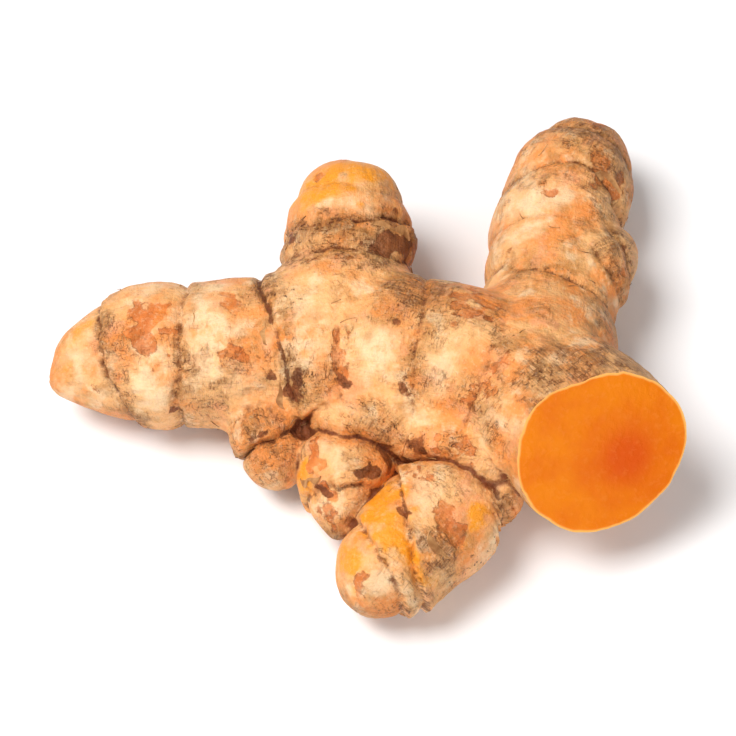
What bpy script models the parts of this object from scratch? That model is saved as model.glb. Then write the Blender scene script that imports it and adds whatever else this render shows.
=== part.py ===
"""A fresh turmeric root: one rhizome with its fingers, cut across at one end.

It is one grown piece, so it is one solid. A stem runs from a pointed tip at -X to a slanting
knife cut at the front right. Two fingers grow from its far side, one with a bud on its flank, and
a stub, a bud and a short finger grow from its near side. Every few millimetres a ring, the scar
of a scale leaf, divides the stem and the fingers into slightly swollen lengths.

The frame is in metres with +Z up. The root lies as it rests, on the plane z = 0, and the middle
of the rectangle that it covers is at x = y = 0.
"""

import math
from dataclasses import dataclass

import bmesh
import bpy
from mathutils import Vector

MM = 0.001

# Driving dimensions of the whole root.
INTERNODE = 9.6 * MM  # from one ring to the next along the stem
RING_DEPTH = 0.09  # how much thinner a ring is than the swelling beside it, as a share
RING_BREADTH = 0.6  # 1 swells evenly from ring to ring, less makes the rings narrow grooves
WALK = 0.6 * MM  # spacing of the sections along a finger
THINNEST = 0.05 * MM  # radius of the last section at a finger's end
SKIN_GRAIN = 0.75 * MM  # size of the facets that the joined solid is first made of
SKIN_SOFTENING = 12  # rounds of smoothing over the joined solid
FACETS_KEPT = 0.2  # share of the facets that stay, the flatter places losing most

# What moves the whole root so that it stands in the middle of the frame.
PLACE = Vector((0.74, -1.76, 0.0)) * MM

# The knife cut: a point on it, the direction that it faces, and how far it reaches.
CUT_POINT = Vector((29.7, -17.6, 17.0)) * MM
CUT_NORMAL = Vector((0.30, -0.73, 0.61)).normalized()
CUT_REACH = 15.0 * MM

# The cutters: how thick each is, and how far the one that flattens the resting places reaches.
CUTTER_DEPTH = 40.0 * MM
TABLE_REACH = 100.0 * MM


@dataclass(frozen=True)
class Finger:
    """One shoot of the rhizome: an axis of (x, y, z, radius) stations in mm, from base to end."""

    name: str
    stations: tuple
    end_length: float  # how far before its end the shoot begins to round off, in metres
    first_ring: float  # distance of the ring nearest the end from that end, in metres
    internode: float = INTERNODE
    end_power: float = 2.0  # 2 rounds the end like an ellipse, less makes it more pointed


STEM = Finger(
    "stem",
    (
        (33.8, -24.8, 18.7, 9.3),
        (28.0, -18.3, 16.2, 9.5),
        (24.6, -13.4, 14.9, 9.9),
        (20.8, -8.9, 13.8, 10.5),
        (14.5, -4.0, 12.6, 11.1),
        (6.0, -1.0, 11.6, 11.3),
        (-5.0, 0.9, 10.8, 10.9),
        (-17.0, 1.1, 9.9, 10.0),
        (-28.0, 1.1, 9.1, 9.7),
        (-35.0, 0.1, 8.5, 9.0),
        (-41.8, -2.3, 7.8, 8.0),
    ),
    end_length=14.0 * MM,
    first_ring=9.5 * MM,
    end_power=1.75,
)
STEM_FLANK = Finger(
    "stem_flank",
    (
        (12.0, -3.0, 11.6, 7.5),
        (21.0, -5.5, 13.2, 9.2),
        (26.8, -10.8, 14.8, 9.5),
        (31.7, -16.9, 16.6, 9.3),
        (36.8, -23.2, 18.8, 9.3),
    ),
    end_length=9.0 * MM,
    first_ring=19.5 * MM,
)
FAR_KNOB = Finger(
    "far_knob",
    (
        (-3.0, 3.0, 10.8, 11.5),
        (-3.1, 9.5, 12.0, 10.0),
        (-2.8, 13.5, 12.9, 8.6),
        (-2.5, 18.0, 13.8, 8.4),
        (-1.9, 27.5, 15.5, 7.6),
    ),
    end_length=8.5 * MM,
    first_ring=8.5 * MM,
    internode=8.0 * MM,
)
FAR_FINGER = Finger(
    "far_finger",
    (
        (20.0, -5.0, 12.0, 11.5),
        (22.8, 3.2, 10.0, 10.1),
        (24.0, 11.0, 9.2, 8.8),
        (25.4, 20.8, 8.5, 9.3),
        (28.4, 30.6, 8.2, 8.4),
        (32.4, 38.2, 8.0, 7.4),
    ),
    end_length=8.5 * MM,
    first_ring=10.0 * MM,
    internode=10.5 * MM,
)
SIDE_BUD = Finger(
    "side_bud",
    (
        (21.0, 6.5, 10.0, 7.2),
        (27.5, 12.5, 10.2, 6.9),
        (32.0, 15.5, 10.0, 6.0),
        (36.0, 16.5, 9.8, 5.0),
    ),
    end_length=5.5 * MM,
    first_ring=5.0 * MM,
    internode=6.0 * MM,
)
NEAR_STUB = Finger(
    "near_stub",
    (
        (-13.0, 0.0, 9.2, 7.0),
        (-13.0, -7.5, 7.8, 5.8),
        (-11.6, -12.0, 6.5, 5.0),
        (-10.9, -16.6, 5.6, 4.4),
    ),
    end_length=4.5 * MM,
    first_ring=6.0 * MM,
    internode=5.0 * MM,
)
NEAR_BUD = Finger(
    "near_bud",
    (
        (3.5, -5.0, 10.5, 8.6),
        (-1.4, -11.5, 8.4, 7.4),
        (-3.3, -17.6, 6.8, 6.0),
        (-4.1, -24.4, 5.4, 4.2),
    ),
    end_length=7.5 * MM,
    first_ring=6.5 * MM,
    internode=5.5 * MM,
    end_power=1.7,
)
NEAR_FINGER = Finger(
    "near_finger",
    (
        (12.5, -5.0, 11.0, 9.0),
        (12.6, -13.5, 8.8, 8.6),
        (11.0, -20.2, 7.7, 8.3),
        (6.4, -24.8, 7.5, 7.7),
        (2.2, -29.4, 7.1, 6.8),
        (-1.4, -34.6, 6.5, 5.6),
    ),
    end_length=6.5 * MM,
    first_ring=7.0 * MM,
    internode=7.0 * MM,
)
FINGERS = (
    STEM,
    STEM_FLANK,
    FAR_KNOB,
    FAR_FINGER,
    SIDE_BUD,
    NEAR_STUB,
    NEAR_BUD,
    NEAR_FINGER,
)


def clear_scene():
    """Remove the objects that the file opened with."""
    for obj in list(bpy.data.objects):
        bpy.data.objects.remove(obj)


def new_collection(name):
    """A collection linked to the scene."""
    collection = bpy.data.collections.new(name)
    bpy.context.scene.collection.children.link(collection)
    return collection


def smooth_axis(stations):
    """Points about WALK apart on a Catmull-Rom curve through the stations, as (place, radius)."""
    knots = [Vector(s) * MM for s in stations]
    knots = [2 * knots[0] - knots[1], *knots, 2 * knots[-1] - knots[-2]]
    points = []
    for before, start, end, after in zip(knots, knots[1:], knots[2:], knots[3:]):
        steps = max(1, round((end.xyz - start.xyz).length / WALK))
        for step in range(steps):
            t = step / steps
            points.append(
                0.5
                * (
                    2 * start
                    + (end - before) * t
                    + (2 * before - 5 * start + 4 * end - after) * t**2
                    + (3 * start - before - 3 * end + after) * t**3
                )
            )
    points.append(knots[-2])
    return [(point.xyz, point.w) for point in points]


def distances_to_end(points):
    """How far each point is from the last one, measured along the axis."""
    left = [0.0]
    for (here, _), (there, _) in zip(points[-2::-1], points[:0:-1]):
        left.append(left[-1] + (there - here).length)
    return left[::-1]


def end_rounding(left, finger):
    """The share of the full radius that is left this near the finger's end."""
    if left >= finger.end_length:
        return 1.0
    inwards = 1 - left / finger.end_length
    return max(0.0, 1 - inwards**finger.end_power) ** (1 / finger.end_power)


def ring_share(left, finger):
    """The share of the radius at this distance from the end: least at a ring, 1 between rings."""
    phase = ((left - finger.first_ring) / finger.internode) % 1.0
    return 1 - RING_DEPTH * (1 - math.sin(math.pi * phase) ** RING_BREADTH)


def add_finger(finger, collection):
    """A finger as a bevelled curve whose radius follows its stations, rings and rounded end."""
    points = smooth_axis(finger.stations)
    data = bpy.data.curves.new(finger.name, "CURVE")
    data.dimensions = "3D"
    data.bevel_depth = 1.0
    data.bevel_resolution = 6
    data.use_fill_caps = True
    spline = data.splines.new("POLY")
    spline.points.add(len(points) - 1)
    for point, (place, radius), left in zip(
        spline.points, points, distances_to_end(points)
    ):
        point.co = (*place, 1.0)
        share = end_rounding(left, finger) * ring_share(left, finger)
        point.radius = max(radius * share, THINNEST)
    obj = bpy.data.objects.new(finger.name, data)
    collection.objects.link(obj)
    return obj


def joined_mesh(name, curves):
    """One mesh that holds every curve's surface, each closed, with the curves removed."""
    graph = bpy.context.evaluated_depsgraph_get()
    joined = bmesh.new()
    for curve in curves:
        mesh = bpy.data.meshes.new_from_object(curve.evaluated_get(graph))
        joined.from_mesh(mesh)
        bpy.data.meshes.remove(mesh)
        bpy.data.objects.remove(curve)
    bmesh.ops.remove_doubles(joined, verts=joined.verts, dist=0.001 * MM)
    mesh = bpy.data.meshes.new(name)
    joined.to_mesh(mesh)
    joined.free()
    return mesh


def add_cutter(name, collection, reach, face_point, face_normal):
    """A round block whose end face is centred at face_point and lies back from its normal."""
    bpy.ops.mesh.primitive_cylinder_add(vertices=64, radius=reach, depth=CUTTER_DEPTH)
    cutter = bpy.context.object
    cutter.name = name
    cutter.rotation_mode = "QUATERNION"
    cutter.rotation_quaternion = face_normal.to_track_quat("Z", "Y")
    cutter.location = PLACE + face_point + face_normal * CUTTER_DEPTH / 2
    cutter.hide_render = True
    cutter.display_type = "WIRE"
    for home in list(cutter.users_collection):
        home.objects.unlink(cutter)
    collection.objects.link(cutter)
    return cutter


def add_cut(obj, cutter):
    """Take the cutter's solid away from the object."""
    cut = obj.modifiers.new(cutter.name, "BOOLEAN")
    cut.operation = "DIFFERENCE"
    cut.solver = "EXACT"
    cut.object = cutter


def skin_material():
    """The matt cream-brown of the skin."""
    material = bpy.data.materials.new("turmeric_skin")
    material.use_nodes = True
    shader = material.node_tree.nodes["Principled BSDF"]
    shader.inputs["Base Color"].default_value = (0.66, 0.37, 0.17, 1.0)
    shader.inputs["Roughness"].default_value = 0.55
    shader.inputs["Metallic"].default_value = 0.0
    return material


def add_skin(root):
    """Modifiers that turn the overlapping shoots into one skin and soften where they meet."""
    fuse = root.modifiers.new("fuse", "REMESH")
    fuse.mode = "VOXEL"
    fuse.voxel_size = SKIN_GRAIN
    fuse.use_smooth_shade = True
    soften = root.modifiers.new("soften", "SMOOTH")
    soften.factor = 0.5
    soften.iterations = SKIN_SOFTENING
    thin = root.modifiers.new("thin", "DECIMATE")
    thin.ratio = FACETS_KEPT


def build_root():
    """The root as one object, with the knife cut and the flats that it rests on."""
    parts = new_collection("turmeric_root")
    cutters = new_collection("cutters")
    curves = [add_finger(finger, parts) for finger in FINGERS]
    bpy.context.view_layer.update()
    root = bpy.data.objects.new("turmeric_root", joined_mesh("turmeric_root", curves))
    root.location = PLACE
    parts.objects.link(root)
    root.data.materials.append(skin_material())
    add_skin(root)
    knife = add_cutter("knife", cutters, CUT_REACH, CUT_POINT, CUT_NORMAL)
    add_cut(root, knife)
    down = Vector((0.0, 0.0, -1.0))
    table = add_cutter("table", cutters, TABLE_REACH, Vector(), down)
    add_cut(root, table)


def main():
    clear_scene()
    build_root()


if __name__ == "__main__":
    main()
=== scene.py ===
"""A fresh turmeric root on a pale floor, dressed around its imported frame.

One rhizome, cut across at its right end: a stem with scale-leaf rings, two fingers on the far
side, a bud on one of them, and a stub, a bud and a short finger on the near side. The skin is one
closed mesh with the cut flesh as its second finish. Papery scraps of the old scale leaves and
fine root hairs are pieces of their own.

All sizes are in metres in the frame's own place, with +Z up; stations are written in millimetres.
"""

import itertools
import logging
import math
from dataclasses import dataclass, field
from enum import Enum

import bpy
import numpy as np
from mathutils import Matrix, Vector
from mathutils.bvhtree import BVHTree


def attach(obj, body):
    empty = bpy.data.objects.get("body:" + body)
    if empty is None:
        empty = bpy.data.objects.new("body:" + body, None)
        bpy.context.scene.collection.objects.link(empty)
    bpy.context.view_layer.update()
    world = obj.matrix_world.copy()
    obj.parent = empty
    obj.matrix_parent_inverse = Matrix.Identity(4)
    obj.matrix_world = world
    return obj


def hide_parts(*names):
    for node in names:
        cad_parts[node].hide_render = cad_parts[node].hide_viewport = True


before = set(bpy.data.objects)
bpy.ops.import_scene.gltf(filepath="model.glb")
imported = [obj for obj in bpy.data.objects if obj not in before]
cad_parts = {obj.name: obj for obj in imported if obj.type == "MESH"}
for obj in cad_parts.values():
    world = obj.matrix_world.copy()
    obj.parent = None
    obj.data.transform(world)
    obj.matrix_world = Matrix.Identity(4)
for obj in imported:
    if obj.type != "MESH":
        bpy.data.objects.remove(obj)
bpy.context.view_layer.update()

LOG = logging.getLogger("turmeric")
NODE = "turmeric_root"
BODY = "root"

MM = 0.001
UP = np.array([0.0, 0.0, 1.0])
NOISE_MIDDLE = 0.5

# How many times the skin is averaged to find its wide valleys, its creases and its dips.
VALLEY_ROUNDS = 260
CREASE_ROUNDS = 120
DIP_ROUNDS = 8

# The axes of the shoots are written before the whole root moves to the middle of its frame.
PLACE = np.array([0.74, -1.76, 0.0])

# The knife cut: a point on it and the way it faces, in millimetres before PLACE.
CUT_POINT = np.array([29.7, -17.6, 17.0])
CUT_NORMAL = np.array([0.30, -0.73, 0.61]) / np.linalg.norm([0.30, -0.73, 0.61])
CUT_REACH = 15.0
CORE = np.array([33.4, -19.55, 15.4])  # middle of the deep orange core, in the frame
FLUSH = 0.01  # how near the cut's plane a face of flesh lies
FAR_FROM_RIM = 9.0  # written where there is no flesh


class Tint(Enum):
    """The kinds of patch that the skin carries, each an attribute of its own."""

    ORANGE = "orange"  # torn skin with bright inner skin showing
    YELLOW = "yellow"  # young waxy skin
    CREAM = "cream"  # rubbed pale skin, and painted highlights
    GREY = "grey"  # matted grey-brown fibres
    BROWN = "brown"  # dark red-brown stain or bark, and painted shade in some folds
    SPECK = "speck"  # dark specks of old roots
    DENT = "dent"  # a deep fold, which has no colour of its own


COLOURED = tuple(tint for tint in Tint if tint is not Tint.DENT)


@dataclass(frozen=True)
class Ring:
    """The scar that a scale leaf leaves round a shoot; lengths in millimetres."""

    left: float  # distance from the shoot's tip
    tilt: float = 0.0  # how much further back it lies on its leaning side
    lean: float = -90.0  # the turn, in degrees, at which it lies furthest back
    arch: float = 0.0  # how much further back both flanks lie than the top
    groove: float = 0.34
    breadth: float = 0.55  # half the groove's width
    lip: float = 0.26
    dark: float = 0.8
    dust: float = 0.7  # how much earth the ring holds, and how strong the painted shade behind its ledge is
    ragged: float = 0.55


@dataclass(frozen=True)
class Patch:
    """A patch of skin: its shoot, distance from the tip, turn from the top, and half sizes."""

    shoot: str
    left: float
    turn: float
    length: float
    breadth: float
    tint: Tint
    strength: float = 1.0


@dataclass(frozen=True)
class Shoot:
    """One shoot: stations (x, y, z, radius) in mm, how its end rounds, and its rings."""

    name: str
    stations: tuple
    end_length: float
    end_power: float = 2.0
    rings: tuple = ()
    host: str = ""

    WALK = 0.6

    def axis(self) -> tuple[np.ndarray, np.ndarray, np.ndarray]:
        """Walk a Catmull-Rom curve through the stations.

        Returns:
            The points in mm in the frame, the radius at each, and the distance left to the tip.
        """
        knots = np.array(self.stations, float)
        knots = np.vstack([2 * knots[0] - knots[1], knots, 2 * knots[-1] - knots[-2]])
        walked = []
        for before, start, end, after in zip(knots, knots[1:], knots[2:], knots[3:]):
            steps = max(1, round(float(np.linalg.norm((end - start)[:3])) / self.WALK))
            t = (np.arange(steps) / steps)[:, None]
            walked.append(
                0.5
                * (
                    2 * start
                    + (end - before) * t
                    + (2 * before - 5 * start + 4 * end - after) * t**2
                    + (3 * start - before - 3 * end + after) * t**3
                )
            )
        walked = np.vstack([*walked, knots[-2][None]])
        points = walked[:, :3] + PLACE
        gaps = np.linalg.norm(np.diff(points, axis=0), axis=1)
        left = np.concatenate([np.cumsum(gaps[::-1])[::-1], [0.0]])
        return points, walked[:, 3], left

    def rounding(self, left: np.ndarray) -> np.ndarray:
        """The share of the full radius that is left at each distance from the tip."""
        inwards = np.clip(1 - left / self.end_length, 0.0, 1.0)
        return np.clip(1 - inwards**self.end_power, 0.0, 1.0) ** (1 / self.end_power)


STEM = Shoot(
    "stem",
    (
        (33.8, -24.8, 18.7, 9.3),
        (28.0, -18.3, 16.2, 9.5),
        (24.6, -13.4, 14.9, 9.9),
        (20.8, -8.9, 13.8, 10.5),
        (14.5, -4.0, 12.6, 11.1),
        (6.0, -1.0, 11.6, 11.3),
        (-5.0, 0.9, 10.8, 10.9),
        (-17.0, 1.1, 9.9, 10.0),
        (-28.0, 1.1, 9.1, 9.7),
        (-35.0, 0.1, 8.5, 9.0),
        (-41.8, -2.3, 7.8, 8.0),
    ),
    end_length=15.5,
    end_power=1.66,
    rings=(
        Ring(11.2, tilt=3.2, lean=162, groove=0.14, lip=0.85, dark=0.95, dust=0.75, ragged=0.6),
        Ring(18.7, tilt=0.6, lean=50, groove=0.40, lip=0.34, dark=0.55, ragged=0.7),
        Ring(31.4, tilt=2.6, lean=-105, groove=0.60, lip=0.34, dark=1.35, dust=1.1, ragged=0.8),
        Ring(39.7, tilt=1.0, groove=0.30, lip=0.16, dark=0.40, dust=0.3, ragged=0.9),
        Ring(50.4, tilt=1.6, groove=0.42, lip=0.20, dark=0.62, dust=0.32, ragged=0.8),
        Ring(61.3, tilt=2.4, groove=0.30, lip=0.16, dark=0.45, dust=0.35, ragged=0.8),
    ),
)
STEM_FLANK = Shoot(
    "stem_flank",
    (
        (12.0, -3.0, 11.6, 7.5),
        (21.0, -5.5, 13.2, 9.2),
        (26.8, -10.8, 14.8, 9.5),
        (31.7, -16.9, 16.6, 9.3),
        (36.8, -23.2, 18.8, 9.3),
    ),
    end_length=9.0,
    host="stem",
)
FAR_KNOB = Shoot(
    "far_knob",
    (
        (-3.0, 3.0, 10.8, 11.5),
        (-3.1, 9.5, 12.0, 10.0),
        (-2.8, 13.5, 12.9, 8.6),
        (-2.5, 18.0, 13.8, 8.4),
        (-1.9, 27.5, 15.5, 7.6),
    ),
    end_length=8.5,
    rings=(
        Ring(6.6, groove=0.12, lip=0.10, dark=0.25, dust=0.1, ragged=0.6),
        Ring(11.2, tilt=1.8, lean=-70, groove=0.14, lip=0.95, dark=1.0, dust=1.0, ragged=1.1),
        Ring(15.6, tilt=0.8, lean=-60, groove=0.40, lip=0.15, dark=0.75, ragged=0.7),
    ),
)
FAR_FINGER = Shoot(
    "far_finger",
    (
        (20.0, -5.0, 12.0, 11.5),
        (22.8, 3.2, 10.0, 10.1),
        (24.0, 11.0, 9.2, 8.8),
        (25.4, 20.8, 8.5, 9.3),
        (28.4, 30.6, 8.2, 8.4),
        (32.4, 38.2, 8.0, 7.4),
    ),
    end_length=8.5,
    rings=(
        Ring(5.0, arch=1.0, groove=0.22, lip=0.16, dark=0.45, ragged=0.5),
        Ring(12.4, arch=3.6, groove=0.34, lip=0.26, dark=0.75, ragged=0.7),
        Ring(22.2, arch=0.8, groove=0.16, lip=0.08, dark=0.22, dust=0.1, ragged=0.5),
        Ring(31.2, tilt=2.4, lean=70, groove=0.45, lip=0.25, dark=0.85, ragged=0.8),
    ),
)
SIDE_BUD = Shoot(
    "side_bud",
    (
        (21.0, 6.5, 10.0, 7.2),
        (27.5, 12.5, 10.2, 6.9),
        (32.0, 15.5, 10.0, 6.0),
        (36.0, 16.5, 9.8, 5.0),
    ),
    end_length=5.5,
    rings=(
        Ring(3.6, tilt=0.8, groove=0.25, lip=0.30, dark=0.6),
        Ring(8.6, tilt=1.0, groove=0.30, lip=0.30, dark=0.8),
    ),
)
NEAR_STUB = Shoot(
    "near_stub",
    (
        (-13.0, 0.0, 9.2, 7.0),
        (-13.0, -7.5, 7.8, 5.8),
        (-11.6, -12.0, 6.5, 5.0),
        (-10.9, -16.6, 5.6, 4.4),
    ),
    end_length=4.5,
    rings=(
        Ring(5.9, tilt=0.6, groove=1.0, breadth=0.8, lip=0.35, dark=1.0, dust=0.6),
        Ring(11.6, tilt=0.6, groove=0.10, lip=0.05, dark=0.25, dust=0.7),
    ),
)
NEAR_BUD = Shoot(
    "near_bud",
    (
        (3.5, -5.0, 10.5, 8.6),
        (-1.4, -11.5, 8.4, 7.4),
        (-3.3, -17.6, 6.8, 6.0),
        (-4.1, -24.4, 5.4, 4.2),
    ),
    end_length=7.5,
    end_power=1.7,
    rings=(
        Ring(5.6, tilt=1.6, lean=-60, groove=0.22, lip=0.75, dark=0.9, dust=0.2, ragged=0.8),
        Ring(12.8, tilt=0.8, groove=1.3, breadth=0.9, lip=0.25, dark=1.0, dust=0.3),
    ),
)
NEAR_FINGER = Shoot(
    "near_finger",
    (
        (12.5, -5.0, 11.0, 9.0),
        (12.6, -13.5, 8.8, 8.6),
        (11.0, -20.2, 7.7, 8.3),
        (6.4, -24.8, 7.5, 7.7),
        (2.2, -29.4, 7.1, 6.8),
        (-1.4, -34.6, 6.5, 5.6),
    ),
    end_length=6.5,
    rings=(
        Ring(5.6, tilt=2.6, lean=85, groove=0.20, lip=0.95, dark=0.8, dust=0.1, ragged=0.4),
        Ring(10.6, tilt=5.2, lean=88, groove=0.25, lip=1.15, dark=0.8, dust=0.1, ragged=0.35),
        Ring(21.0, tilt=1.5, lean=60, groove=1.5, breadth=1.0, lip=0.20, dust=0.25, ragged=0.5, dark=1.0),
    ),
)
SHOOTS = (STEM, STEM_FLANK, FAR_KNOB, FAR_FINGER, SIDE_BUD, NEAR_STUB, NEAR_BUD, NEAR_FINGER)
RINGED = tuple(shoot for shoot in SHOOTS if not shoot.host)

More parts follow.
